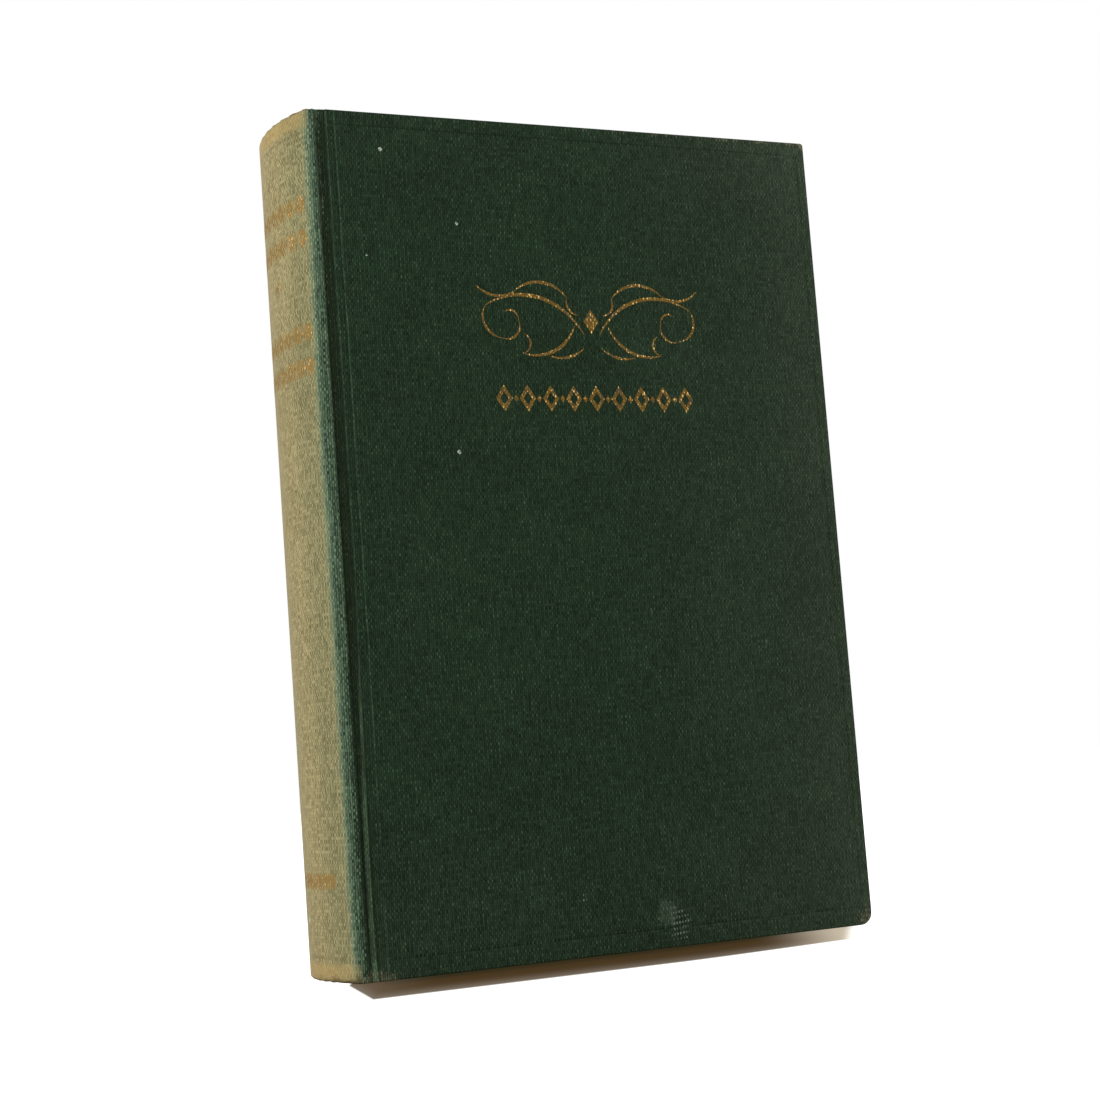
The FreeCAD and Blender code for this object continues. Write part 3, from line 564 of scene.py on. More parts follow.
def cover_finish(name, case, cloth, marks=()):
    """Green cloth of a cover, with rubbed places, bare threads and pale flecks where they are named, dust and
    a painted sheen towards the fore-edge and head, painted highlights along the joint and the blind line, and
    painted shade in the joint's groove.
    """
    shader = Shader(name, roughness=0.8, specular=0.08)
    across, along = shader.sheet_place()
    worn = edge_wear(shader, across, along)
    past_crown = across - (CROWN - 2 * case.groove_depth)
    faded = fading(shader, past_crown, along)
    colours, height, lit = cloth_colours(shader, cloth, across, along, faded, worn)
    tops = shader.ramp(lit, 0.1, 0.9, 0.45, 1.15)
    # Dust and a painted sheen: lighter towards the fore-edge, along the head and towards the tail
    dust = shader.ramp(across, FORE - 75 * MM, FORE, 0.0, 0.1)
    dust = dust + shader.ramp(across, FORE - 20 * MM, FORE + 2 * MM, 0.0, 0.1)
    dust = dust + shader.ramp(along, 45 * MM, 0.0, 0.0, 0.05)
    high = shader.ramp(along, HEIGHT - 26 * MM, HEIGHT, 0.0, 1.0)
    dust = dust + high * shader.ramp(across, FORE - 70 * MM, FORE, 0.02, 0.12)
    # Painted shade: the cloth in the joint's groove is darkened
    inside = shader.ramp(across, JOINT + 0.2 * MM, JOINT - 0.8 * MM)
    inside = inside * shader.ramp(across, SHOULDER - 2.6 * case.groove_depth, SHOULDER - case.groove_depth)
    colours = shader.layers(
        colours, (dust * tops, cloth.dusty),
        (rubbed_and_lit_lines(shader, case, across, along) * tops, cloth.rubbed), (inside * 0.14, cloth.dirt_and_shade))
    rungs = shader.math("SINE", along * (math.tau / (1.3 * MM)) - across * (0.5 / MM))
    dashes = shader.math("SINE", across * (math.tau / (0.8 * MM)))
    torn = shader.ramp(shader.grain(across, along, 1.6 * MM, detail=4.0), 0.35, 0.6, 0.05, 0.24)
    bare = shader.ramp(rungs, -0.2, 0.9) * shader.ramp(dashes, -0.4, 0.6) * torn
    chipped = shader.ramp(shader.grain(across, along, 0.5 * MM), 0.42, 0.52, 0.1, 0.7)
    coats = {
        "rub": (tops * 0.2, cloth.pale_green), "threads": (bare, cloth.fleck),
        "fleck": (chipped, cloth.fleck)}
    for kind, x, z, radius, stretch in marks:
        strength, coat = coats[kind]
        place = spot(shader, across, along, x * MM, z * MM, radius * MM, stretch)
        colours = shader.mix(place * strength, colours, coat)
    shader.bump(height, cloth.relief)
    return shader.paint(colours)


def fading(shader, past_crown, along):
    """How far light has faded the spine's cloth, by the distance past the crown of its shoulder."""
    ragged = shader.grain(past_crown, along, 4 * MM, 16 * MM, detail=4.0)
    past = (ragged - 0.5) * 1.2 * MM - past_crown
    past = past - shader.ramp(along, 90 * MM, 10 * MM) * 0.3 * MM
    past = past + shader.ramp(along, 130 * MM, 190 * MM) * 1.1 * MM
    higher = shader.ramp(along, 60 * MM, 110 * MM) * 1.8 * MM
    crown = shader.ramp(past + higher, -1.8 * MM, 1.0 * MM, 0.0, 0.33)
    shoulder = shader.ramp(past, 0.8 * MM, 5.8 * MM, 0.0, 0.47)
    return crown + shoulder + shader.ramp(past, 5 * MM, 20 * MM, 0.0, 0.2)


def spine_finish(name, case, cloth):
    """Cloth of the spine, faded but for its shoulders, and yellowed at its ends, with a line of painted shade
    for a crease near each end; its half towards the back cover is paler, partly by fading and partly by
    painted light.
    """
    shader = Shader(name, roughness=0.85, specular=0.12)
    across, along = shader.sheet_place()
    past_crown = shader.size(across) - crown_along(case)
    faded = fading(shader, past_crown, along)
    ends = shader.math("MINIMUM", along, HEIGHT - along)
    ragged = shader.grain(across, along, 5 * MM, detail=5.0, roughness=0.7)
    worn = shader.ramp(ends + (ragged - 0.5) * 1.2 * MM, 1.1 * MM, 0.2 * MM)
    colours, height, lit = cloth_colours(shader, cloth, across, along, faded, worn)
    yellow = shader.ramp(ends + (ragged - 0.5) * 1.5 * MM, 5.2 * MM, 3.4 * MM, 0.0, 0.5) * faded
    # Painted shade: a dark line where the cloth is creased near each end
    crease = shader.line(ends + (ragged - 0.5) * 1.5 * MM, 5.6 * MM, 0.4 * MM) * faded
    soil = shader.ramp(ends, 0.9 * MM, 0.2 * MM, 0.0, 0.75) * shader.ramp(ragged, 0.35, 0.6)
    foot = shader.ramp(along + (ragged - 0.5) * 4 * MM, 2.0 * MM, 0.4 * MM)
    soil = shader.most(soil, foot * shader.ramp(across, 4 * MM, -9 * MM, 0.1, 0.6))
    # The paler back half of the spine is partly faded and partly painted light
    colours = shader.layers(
        colours, (yellow, cloth.yellowed), (crease * 0.45, cloth.faded_gap_shade), (soil, cloth.dirt_and_shade),
        (shader.ramp(across, 0.0, 14 * MM, 0.0, 0.4) * faded, cloth.sunned_and_lit))
    left_foil = shader.ramp(shader.grain(across, along, 1.4 * MM, detail=5.0, roughness=0.65), 0.3, 0.62)
    for high, half, reach, strength in SPINE_ROWS:
        band = shader.ramp(shader.size(along - high * MM), (half + 0.25) * MM, (half - 0.25) * MM)
        band = band * shader.ramp(shader.size(across), (reach + 0.3) * MM, (reach - 0.5) * MM)
        colours = shader.mix(band * left_foil * strength, colours, cloth.residue)
    speck = spot(shader, across, along, 7.5 * MM, 14 * MM, 0.6 * MM, 0.6)
    colours = shader.mix(speck * 0.9, colours, cloth.fleck)
    shader.bump(height, cloth.relief)
    return shader.paint(colours)


def paper_edge_finish(block):
    """Cut edges of the leaves: fine lines along each leaf, with dust at the head."""
    shader = Shader("paper_edges", roughness=0.9, specular=0.15)
    x, y, z = shader.object_place()
    leaves = shader.noise(shader.vector(x / (40 * MM), y / block.leaf, z / (40 * MM)), detail=4.0)
    bundles = shader.noise(shader.vector(x / (60 * MM), y / (0.8 * MM), z / (60 * MM)), detail=3.0)
    spots = shader.noise(shader.vector(x / (6 * MM), y / (6 * MM), z / (6 * MM)), detail=5.0)
    tone = leaves * 0.6 + bundles * 0.3 + spots * 0.3
    colours = shader.mix(shader.ramp(tone, 0.35, 0.8), block.dust, block.edge)
    dusty = shader.ramp(z, BLOCK_HIGH.z - 3 * MM, BLOCK_HIGH.z - 0.05 * MM, 0.0, 0.45)
    colours = shader.mix(dusty * shader.ramp(spots, 0.35, 0.65), colours, block.dust)
    shader.bump(leaves, 0.04 * MM)
    return shader.paint(colours)


def endpaper_finish(name, block, on_sheet=False):
    """Plain laid endpaper, toned in soft clouds and lightly foxed."""
    shader = Shader(name, roughness=0.88, specular=0.2)
    if on_sheet:
        across, along = shader.sheet_place()
    else:
        across, y, along = shader.object_place()
    place = shader.vector(across / MM, 0.0, along / MM)
    fibres = shader.noise(place, scale=2.2, detail=4.0)
    clouds = shader.noise(place, scale=0.03, detail=4.0)
    spots = shader.noise(place, scale=0.22, detail=4.0, roughness=0.6)
    foxed = shader.ramp(spots, 0.66, 0.76) * shader.ramp(clouds, 0.4, 0.6) * 0.5
    colours = shader.mix(shader.ramp(clouds, 0.3, 0.7, 0.0, 0.15), block.paper, block.edge)
    colours = shader.mix(foxed, colours, block.foxing)
    colours = shader.mix(shader.ramp(fibres, 0.4, 0.8, 0.0, 0.2), colours, block.edge)
    shader.bump(fibres, 0.015 * MM)
    return shader.paint(colours)


def plain_finish(name, light, dark, grain, relief):
    """Rough board, card, paper or thread: two tones mixed by grain."""
    shader = Shader(name, roughness=0.9, specular=0.15)
    x, y, z = shader.object_place()
    speckle = shader.noise(shader.vector(x / grain, y / grain, z / grain), detail=5.0, roughness=0.65)
    shader.bump(speckle, relief)
    return shader.paint(shader.mix(shader.ramp(speckle, 0.35, 0.65), dark, light))


def gauze_finish():
    """Open starched gauze."""
    shader = Shader("mull", roughness=0.9, specular=0.15)
    x, y, z = shader.object_place()
    height, tone = weave(shader, x + y, z, 1.1 * MM, 1.1 * MM)
    shader.bump(height, 0.12 * MM)
    return shader.paint(shader.mix(shader.ramp(height, 0.2, 0.8), shade(120, 104, 78), shade(208, 196, 166)))


def gilt_finish(name, cloth, bed, worn_share, spine=False):
    """Foil pressed into the weave, with the cloth showing where it has worn off, and painted glints on the
    foil, more of them on the spine towards the front cover.
    """
    shader = Shader(name, roughness=0.42, specular=0.3)
    x, y, z = shader.object_place()
    across = y if spine else x
    catching_light = shader.ramp(across, -3 * MM, -15 * MM, 0.12, 0.5) if spine else 0.03
    height, tone = weave(shader, across, z, cloth.upright, cloth.level)
    patches = shader.grain(across, z, 2.2 * MM, detail=5.0, roughness=0.6)
    kept = shader.ramp(patches + height * 0.3 + (tone - 0.5) * 0.4, worn_share, worn_share + 0.2)
    colours = shader.mix(kept, bed, cloth.bronze)
    # Painted glints: bright gold specks where the foil would catch the light
    glints = shader.grain(across, z, 0.7 * MM, detail=3.0)
    bright = shader.ramp(height * 0.35 + glints * 1.2 + (tone - 0.5) * 0.4 + catching_light, 0.92, 1.2)
    colours = shader.mix(bright * kept, colours, cloth.gold)
    shader.feed(shader.surface.inputs["Metallic"], kept * (0.3 if spine else 0.85))
    shader.bump(height, cloth.relief)
    return shader.paint(colours, roughness=shader.blend(kept, 0.8, 0.38))


def dress(name, material):
    """Gives a CAD node its finish."""
    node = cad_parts[name]
    node.data.materials.clear()
    node.data.materials.append(material)


# ---- case cloth ----
JOINT_STEP = 0.12 * MM       # between cuts across a joint, where the cloth bends
BOARD_STEP = 7 * MM          # between cuts across a board
COVER_STEP = 3 * MM          # between cuts up a cover
SPINE_STEP = 6 * MM          # between cuts up the spine
LEAF_STEP = 12 * MM          # between cuts across and up a pasted leaf
EASED = 9 * MM               # how far from the head and tail the joint gets shallower
FRAYED = 0.5 * MM            # how far from the head and tail the cloth is frayed


def spine_radius(case):
    """Radius of the spine's long arc, which runs into the two shoulder arcs."""
    rise = CROWN - SPINE
    half = HALF - case.shoulder_round
    return (rise * rise + half * half - case.shoulder_round ** 2) / (2 * (rise - case.shoulder_round))


def spine_turn(case):
    """Angle from the middle of the spine to the end of its long arc."""
    half = HALF - case.shoulder_round
    return math.asin(half / (spine_radius(case) - case.shoulder_round))


def shoulder_centre(case):
    """Distance from the middle plane to the axis of a shoulder's arc."""
    return HALF - case.shoulder_round


def crown_along(case):
    """Distance round the spine's face from its middle to its crown."""
    return spine_radius(case) * spine_turn(case) + case.shoulder_round * (math.pi / 2 - spine_turn(case))


def spine_along(x, y, case):
    """Distance round the spine's face from its middle, for a point at +Y."""
    radius, turn = spine_radius(case), spine_turn(case)
    angle = math.atan2(y, SPINE + radius - x)
    if angle <= turn:
        return radius * angle
    past = math.atan2(y - shoulder_centre(case), CROWN - x) - turn
    return radius * turn + case.shoulder_round * past


def cover_along(x, y, case):
    """Distance along a cover's cloth: X on the board, and on round the joint and the shoulder."""
    depth = max(0.0, HALF - y)
    groove = case.groove_depth
    if x > JOINT + case.joint_round:
        return x
    if x > HINGE:
        return x - min(depth, groove)
    if x > CROWN:
        return x - groove - max(0.0, groove - depth)
    past = math.pi / 2 - math.atan2(y - shoulder_centre(case), CROWN - x)
    return CROWN - 2 * groove - case.shoulder_round * past


def cover_outline(bm, case):
    """Section of a cover's cloth with its turn-in, at +Y: shoulder, groove, board and back."""
    floor, round_off, double = HALF - case.groove_depth, case.groove_round, 2 * CLOTH
    shoulder, crown = shoulder_centre(case), SHOULDER - CROWN
    inner = case.shoulder_round - double - case.card
    seam = math.degrees(case.seam)
    pen = Pen(bm, *around(CROWN, shoulder, case.shoulder_round, case.seam))
    pen.arc(CROWN, shoulder, seam - 90, 8)
    pen.arc(CROWN, HALF - crown, -90, 8)
    pen.line(SHOULDER, floor + round_off)
    pen.arc(SHOULDER + round_off, floor + round_off, 90, 6)
    pen.line(JOINT - round_off, floor)
    pen.arc(JOINT - round_off, floor + round_off, 90, 6)
    pen.line(JOINT, HALF - case.joint_round)
    pen.arc(JOINT + case.joint_round, HALF - case.joint_round, -90, 5)
    pen.line(FORE, HALF)
    pen.part = FORE_EDGE
    pen.line(FORE, HALF - COVER_DEEP)
    pen.part = INNER
    pen.line(JOINT + MM, HALF - COVER_DEEP)
    pen.line(JOINT - 0.2 * MM, floor - double)
    pen.line(SHOULDER + round_off, floor - double)
    rise = math.degrees(math.asin((floor + round_off - shoulder - inner) / (double + round_off)))
    pen.arc(SHOULDER + round_off, floor + round_off, rise - 90, 6)
    pen.line(*around(CROWN, shoulder, inner, case.seam))
    return pen


def around(x, y, radius, angle):
    """Point round a centre, by its angle from -X towards +Y."""
    return x - radius * math.cos(angle), y + radius * math.sin(angle)


def spine_outline(bm, case):
    """Section of the spine's cloth with its turn-in, from one shoulder round to the other."""
    turn, seam = math.degrees(spine_turn(case)), math.degrees(case.seam)
    axis, shoulder = SPINE + spine_radius(case), shoulder_centre(case)
    inner = case.shoulder_round - 2 * CLOTH - case.card
    pen = Pen(bm, *around(CROWN, -shoulder, case.shoulder_round, -case.seam))
    pen.arc(CROWN, -shoulder, turn - seam, 10)
    pen.arc(axis, 0.0, -2 * turn, 48)
    pen.arc(CROWN, shoulder, turn - seam, 10)
    pen.part = SEAM
    pen.line(*around(CROWN, shoulder, inner, case.seam))
    pen.part = INNER
    pen.arc(CROWN, shoulder, seam - turn, 5)
    pen.arc(axis, 0.0, 2 * turn, 24)
    pen.arc(CROWN, -shoulder, seam - turn, 5)
    return pen


def lay_threads(bm, along, deep, reach):
    """Maps each face of a turned-in cloth back to its place on the flat cut, in metres."""
    part = bm.faces.layers.int["part"]
    sheet = bm.loops.layers.uv.new("Sheet")
    for face in bm.faces:
        centre = face.calc_center_median()
        upper = centre.z > HEIGHT / 2
        for loop in face.loops:
            x, y, z = loop.vert.co
            place = [along(x, y), z]
            past = HEIGHT - z if upper else z
            if face[part] == EDGE:
                place[1] = HEIGHT + HALF - abs(y) if upper else abs(y) - HALF
            elif face[part] == FORE_EDGE:
                place[0] = FORE + HALF - abs(y)
            elif face[part] == INNER and FORE - centre.x < min(reach, centre.z, HEIGHT - centre.z):
                place[0] = FORE + deep + FORE - x
            elif face[part] == INNER:
                place[1] = HEIGHT + deep + past if upper else -deep - past
            loop[sheet].uv = place


def open_inside(bm, reach, fore_reach=None):
    """Takes out the inner faces between the turn-ins."""
    part = bm.faces.layers.int["part"]
    hidden = []
    for face in bm.faces:
        centre = face.calc_center_median()
        inside = reach < centre.z < HEIGHT - reach
        if fore_reach is not None:
            inside = inside and centre.x < FORE - fore_reach
        if face[part] == INNER and inside:
            hidden.append(face)
    bmesh.ops.delete(bm, geom=hidden, context="FACES")


def press_frame_line(bm, case):
    """Presses the blind frame line into the front cover."""
    left, right = JOINT + case.line_joint, FORE - case.line_fore
    low, high = case.line_tail, HEIGHT - case.line_head
    width = case.line_width
    cut(bm, 0, (left, left + width, right - width, right))
    cut(bm, 2, (low, low + width, high - width, high))
    part = bm.faces.layers.int["part"]
    line = []
    for face in bm.faces:
        centre = face.calc_center_median()
        within = left < centre.x < right and low < centre.z < high
        core = left + width < centre.x < right - width and low + width < centre.z < high - width
        if face[part] == OUTER and within and not core:
            line.append(face)
    bmesh.ops.inset_region(
        bm, faces=line, thickness=width * 0.28, depth=-case.line_depth, use_boundary=True,
        use_even_offset=True)


def make_cover_cloth(name, side, case, material):
    """Cloth of one cover, from the groove's wall over the board, with its turn-ins."""
    bm = bmesh.new()
    cover_outline(bm, case).prism(HEIGHT)
    for high, radius in ((0.0, case.tail_corner), (HEIGHT, case.head_corner)):
        corner = [
            edge for edge in bm.edges
            if all(near(vert.co.x, FORE) and near(vert.co.z, high) for vert in edge.verts)
            and not near(edge.verts[0].co.y, edge.verts[1].co.y)
        ]
        bevel(bm, corner, radius, 6)
    bevel(bm, rim_edges(bm), case.edge_round, 3)
    cut(bm, 0, [*steps(SHOULDER, JOINT, JOINT_STEP), *steps(JOINT, FORE, BOARD_STEP), FORE - case.turn_in])
    cut(bm, 2, [*steps(0.0, HEIGHT, COVER_STEP), case.turn_in, HEIGHT - case.turn_in])
    open_inside(bm, case.turn_in, case.turn_in)
    if side == FRONT:
        press_frame_line(bm, case)
    lay_threads(bm, lambda x, y: cover_along(x, y, case), COVER_DEEP, case.turn_in)
    flatten_groove(bm, case)
    fray_ends(bm, case)
    if side == FRONT:
        mirror_to_front(bm)
    return finish_piece(bm, name, material, thickness=CLOTH - PROUD, flat_faces=True)


def unevenness(x, y, z):
    """Smooth unevenness between about -1 and 1, the same in every run."""
    waves = math.sin(x * 1.9 + z) + math.sin(x * 4.3 + y * 1.7 + z * 2.1) * 0.6 + math.sin(x * 9.1 + z) * 0.4
    return waves / 2


def flatten_groove(bm, case):
    """Lifts the floor of the joint towards the head and the tail."""
    for vert in bm.verts:
        x, y, z = vert.co
        close = max(0.0, 1 - min(z, HEIGHT - z) / EASED)
        if CROWN < x < JOINT + CLOSE and y > HALF - case.groove_depth - 3 * CLOTH:
            vert.co.y += min(HALF - y, case.groove_depth) * case.groove_ease * close * close * (3 - 2 * close)


def fray_ends(bm, case):
    """Wears the ends of the spine and the joints unevenly."""
    for vert in bm.verts:
        x, y, z = vert.co
        if x < HINGE and min(z, HEIGHT - z) < FRAYED:
            end = round(z / HEIGHT)
            loss = case.fray * max(0.0, 0.5 + unevenness(y / (1.4 * MM), x / (1.4 * MM), end * 9))
            vert.co.z += loss * (1 - 2 * end)


def make_spine_cloth(name, case, material):
    """Cloth round the spine from shoulder to shoulder, turned in over the card's ends."""
    bm = bmesh.new()
    spine_outline(bm, case).prism(HEIGHT)
    bevel(bm, rim_edges(bm), case.end_round, 4)
    cut(bm, 2, [*steps(0.0, HEIGHT, SPINE_STEP), case.spine_turn_in, HEIGHT - case.spine_turn_in])
    open_inside(bm, case.spine_turn_in)

    def along(x, y):
        return math.copysign(spine_along(x, abs(y), case), y)
    lay_threads(bm, along, 2 * CLOTH + case.card, 0.0)
    fray_ends(bm, case)
    return finish_piece(bm, name, material, thickness=CLOTH - PROUD, flat_faces=True)


class BOOK_OT_case_cloth(bpy.types.Operator):
    """Makes the cloth of the covers and the spine"""
    bl_idname = "book.case_cloth"
    bl_label = "Case cloth"

    def execute(self, context):
        case, cloth = context.scene.book.case, context.scene.book.cloth
        for name, side in SIDES:
            marks = MARKS if side == FRONT else ()
            material = cover_finish(f"{name}_cloth_finish", case, cloth, marks)
            piece = make_cover_cloth(f"{name}_cover_cloth", side, case, material)
            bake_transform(piece)
            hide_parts(f"{name}_cloth")
            wide = FORE - CROWN + 2 * case.groove_depth + COVER_DEEP + case.turn_in
        spine = make_spine_cloth("spine_case_cloth", case, spine_finish("spine_cloth_finish", case, cloth))
        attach(spine, "block")
        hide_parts("spine_cloth")
        wide = 2 * crown_along(case)
        return {"FINISHED"}


# Marks on the front cover, in millimetres: kind, place along X and Z, half height, and how many times
# taller than wide.
MARKS = (
    ("rub", 12.2, 8.6, 3.4, 1.3),
    ("rub", 14.5, 82.1, 0.8, 2.4),
    ("rub", 46.8, 73.4, 0.8, 2.4),
    ("threads", 15.5, 5.6, 4.0, 1.5),
    ("threads", -10.0, 13.9, 1.1, 1.4),
    ("fleck", -49.3, 195.9, 0.5, 1.0),
    ("fleck", -30.7, 178.4, 0.4, 1.0),
    ("fleck", -34.3, 122.2, 0.55, 1.0),
    ("fleck", -54.6, 169.7, 0.3, 1.0),
)
# Rows on the spine, in millimetres: height, half height, reach to each side, and share of worn foil left.
SPINE_ROWS = (
    (182.25, 2.1, 15.3, 0.4),
    (174.15, 2.1, 15.3, 0.4),
    (151.55, 2.1, 15.3, 0.45),
    (143.45, 2.1, 15.3, 0.45),
    (23.2, 1.8, 10.7, 0.75),
)


# ---- endpapers ----
def make_pastedown(name, side, case, material):
    """Pasted leaf of an endpaper: from the block's shoulder across the joint and over the board."""
    bm = bmesh.new()
    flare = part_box("back_flyleaf")[1].y
    pen = Pen(bm, LEAF_TIP, flare)
    pen.line(LEAF_TIP + 0.25 * MM, flare - 0.35 * MM)
    pen.line(LEAF_TIP + 0.8 * MM, PASTED + 0.12 * MM)
    pen.line(HINGE, PASTED - 0.03 * MM)
    pen.line(JOINT, PASTED)
    pen.line(BLOCK_HIGH.x, PASTED)
    walls = bmesh.ops.extrude_edge_only(bm, edges=bm.edges[:])["geom"]
    bmesh.ops.translate(bm, verts=bm.verts[:], vec=(0, 0, BLOCK_LOW.z))
    bmesh.ops.translate(bm, verts=vertices(walls), vec=(0, 0, BLOCK_HIGH.z - BLOCK_LOW.z))
    slope = 1.6 * MM
    left, right = JOINT + CLOTH + case.mull_flap, FORE - case.turn_in
    low, high = case.turn_in, HEIGHT - case.turn_in
    slopes = [number * slope / 4 for number in range(5)]
    cut(bm, 0, steps(SHOULDER, JOINT, JOINT_STEP))
    cut(bm, 0, [place for step in slopes for place in (left + step, right - step)])
    cut(bm, 2, [place for step in slopes for place in (low + step, high - step)])
    cut(bm, 0, steps(left + slope, right - slope, LEAF_STEP))
    cut(bm, 2, steps(low + slope, high - slope, LEAF_STEP))
    for vert in bm.verts:
        reach = min(vert.co.x - left, right - vert.co.x, vert.co.z - low, high - vert.co.z)
        fall = min(1.0, max(0.0, reach / slope))
        vert.co.y += (CLOTH - 0.05 * MM) * fall * fall * (3 - 2 * fall)
    bmesh.ops.recalc_face_normals(bm, faces=bm.faces[:])
    if sum(face.normal.y * face.calc_area() for face in bm.faces) > 0:
        bmesh.ops.reverse_faces(bm, faces=bm.faces[:])
    sheet = bm.loops.layers.uv.new("Sheet")
    for face in bm.faces:
        for loop in face.loops:
            loop[sheet].uv = loop.vert.co.xz
    if side == FRONT:
        mirror_to_front(bm)
    return finish_piece(bm, name, material, thickness=PAPER * 0.9)


class BOOK_OT_endpapers(bpy.types.Operator):
    """Makes the pasted leaves and gives the flyleaves their paper"""
    bl_idname = "book.endpapers"
    bl_label = "Endpapers"

    def execute(self, context):
        book = context.scene.book
        paper = endpaper_finish("endpaper", book.block)
        pasted = endpaper_finish("pasted_endpaper", book.block, on_sheet=True)
        for name, side in SIDES:
            piece = make_pastedown(f"{name}_pasted_leaf", side, book.case, pasted)
            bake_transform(piece)
            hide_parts(f"{name}_pastedown")
            dress(f"{name}_flyleaf", paper)
        return {"FINISHED"}


# ---- leaves ----
COLUMNS = 8                  # strips that a gathering is made of, from its fold to its fore-edge
FOLD_COLUMNS = 4             # those of them between the fold and the hinge
PARTING = 0.015              # share of a gathering's thickness that it stands clear on each side
FORE_UNEVEN = 0.04 * MM      # how far a gathering's fore-edge lies in or out
HEAD_UNEVEN = 0.05 * MM      # how far its head lies low, at most


def gathering_point(column, share_across, block):
    """Place in plan of a point on a gathering, from its fold (column 0) to its fore-edge."""
    tip = BLOCK_HALF + block.flare
    rise = LEAF_TIP - BLOCK_LOW.x
    radius = (tip * tip + rise * rise) / (2 * rise)
    fold = BLOCK_LOW.x + radius - math.sqrt(radius * radius - (tip * share_across) ** 2)
    fore = BLOCK_HIGH.x - block.hollow * (1 - share_across * share_across)
    if column <= FOLD_COLUMNS:
        x = fold + (HINGE - fold) * column / FOLD_COLUMNS
    else:
        x = HINGE + (fore - HINGE) * (column - FOLD_COLUMNS) / (COLUMNS - FOLD_COLUMNS)
    bend = min(1.25, max(0.0, (HINGE - x) / (HINGE - LEAF_TIP)))
    return x, share_across * (BLOCK_HALF + block.flare * (1 - math.sqrt(max(0.0, 1 - bend * bend * 0.9))))


def make_leaves(name, block, material):
    """Gatherings of leaves, side by side, trimmed and rounded together."""
    bm = bmesh.new()
    chance = random.Random(7)
    for number in range(block.gatherings):
        before = set(bm.verts)
        bmesh.ops.create_grid(bm, x_segments=COLUMNS, y_segments=1, size=1.0)
        plan = set(bm.verts) - before
        trim = chance.uniform(-FORE_UNEVEN, FORE_UNEVEN)
        for vert in plan:
            column = round((vert.co.x + 1) / 2 * COLUMNS)
            across = number + (PARTING if vert.co.y < 0 else 1 - PARTING)
            x, y = gathering_point(column, across / block.gatherings * 2 - 1, block)
            vert.co = (x + (trim if column == COLUMNS else 0.0), y, BLOCK_LOW.z)
        faces = list({face for vert in plan for face in vert.link_faces})
        raise_faces(bm, faces, BLOCK_HIGH.z - BLOCK_LOW.z - chance.uniform(0.0, HEAD_UNEVEN))
    bmesh.ops.recalc_face_normals(bm, faces=bm.faces[:])
    bevel(bm, sharp_edges(bm), block.crease, 2)
    return finish_piece(bm, name, material, flat_faces=True)


class BOOK_OT_leaves(bpy.types.Operator):
    """Makes the gatherings of leaves"""
    bl_idname = "book.leaves"
    bl_label = "Leaves"

    def execute(self, context):
        block = context.scene.book.block
        piece = make_leaves("gatherings", block, paper_edge_finish(block))
        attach(piece, "block")
        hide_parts("text_block")
        return {"FINISHED"}


# ---- carried-over nodes ----
class BOOK_OT_inner_parts(bpy.types.Operator):
    """Gives the boards, card, mull, lining and thread their finishes"""
    bl_idname = "book.inner_parts"
    bl_label = "Inner parts"

    def execute(self, context):
        board = plain_finish("millboard", shade(150, 138, 116), shade(108, 96, 78), 1.4 * MM, 0.1 * MM)
        card = plain_finish("spine_card", shade(170, 152, 116), shade(132, 114, 82), 2.0 * MM, 0.03 * MM)
        lining = plain_finish("lining_paper", shade(178, 156, 116), shade(146, 124, 88), 3.0 * MM, 0.02 * MM)
        thread = plain_finish("linen_thread", shade(226, 218, 196), shade(180, 168, 140), 0.3 * MM, 0.05 * MM)
        mull = gauze_finish()
        for names, material in (
            (("front_board", "back_board"), board), (("spine_stiffener",), card),
            (("spine_lining",), lining), (("sewing_thread",), thread),
            (("spine_mull", "front_mull_flap", "back_mull_flap"), mull),
        ):
            for name in names:
                dress(name, material)
        return {"FINISHED"}


def headband_finish():
    """Two colours of thread wound in turn."""
    shader = Shader("headband", roughness=0.7, specular=0.3)
    x, y, z = shader.object_place()
    wound = shader.math("FRACT", y / (1.3 * MM))
    fine = shader.math("FRACT", y / (0.26 * MM)) * 2.0 - 1.0
    colours = shader.mix(shader.ramp(wound, 0.47, 0.53), shade(206, 196, 166), shade(58, 92, 66))
    shader.bump(1.0 - fine * fine, 0.08 * MM)
    return shader.paint(colours)


class BOOK_OT_headbands(bpy.types.Operator):
    """Gives the headbands their wound threads"""
    bl_idname = "book.headbands"
    bl_label = "Headbands"

    def execute(self, context):
        material = headband_finish()
        for name in ("head_band", "tail_band"):
            dress(name, material)
        return {"FINISHED"}


class BOOK_OT_gilding(bpy.types.Operator):
    """Gives the pressed foil its worn gilt"""
    bl_idname = "book.gilding"
    bl_label = "Gilding"

    def execute(self, context):
        cloth = context.scene.book.cloth
        dress("front_gilding", gilt_finish("front_gilt", cloth, shade(58, 50, 28), 0.46))
        dress("spine_gilding", gilt_finish("spine_gilt", cloth, shade(140, 110, 54), 0.7, spine=True))
        return {"FINISHED"}


# ---- stage ----
WHITE = (1.0, 1.0, 1.0)
FLOOR_HALF = 4.0             # metres, from the middle of the floor to its edge
SENSOR = 36.0                # millimetres, width of the camera's film
KEY_PLACE, KEY_SIZE = (-0.9, -0.8, 0.5), 0.5
FILL_PLACE, FILL_SIZE = (0.85, -0.75, 0.75), 0.6
FILL_SHARE = 0.45            # power of the fill lamp, to the key's


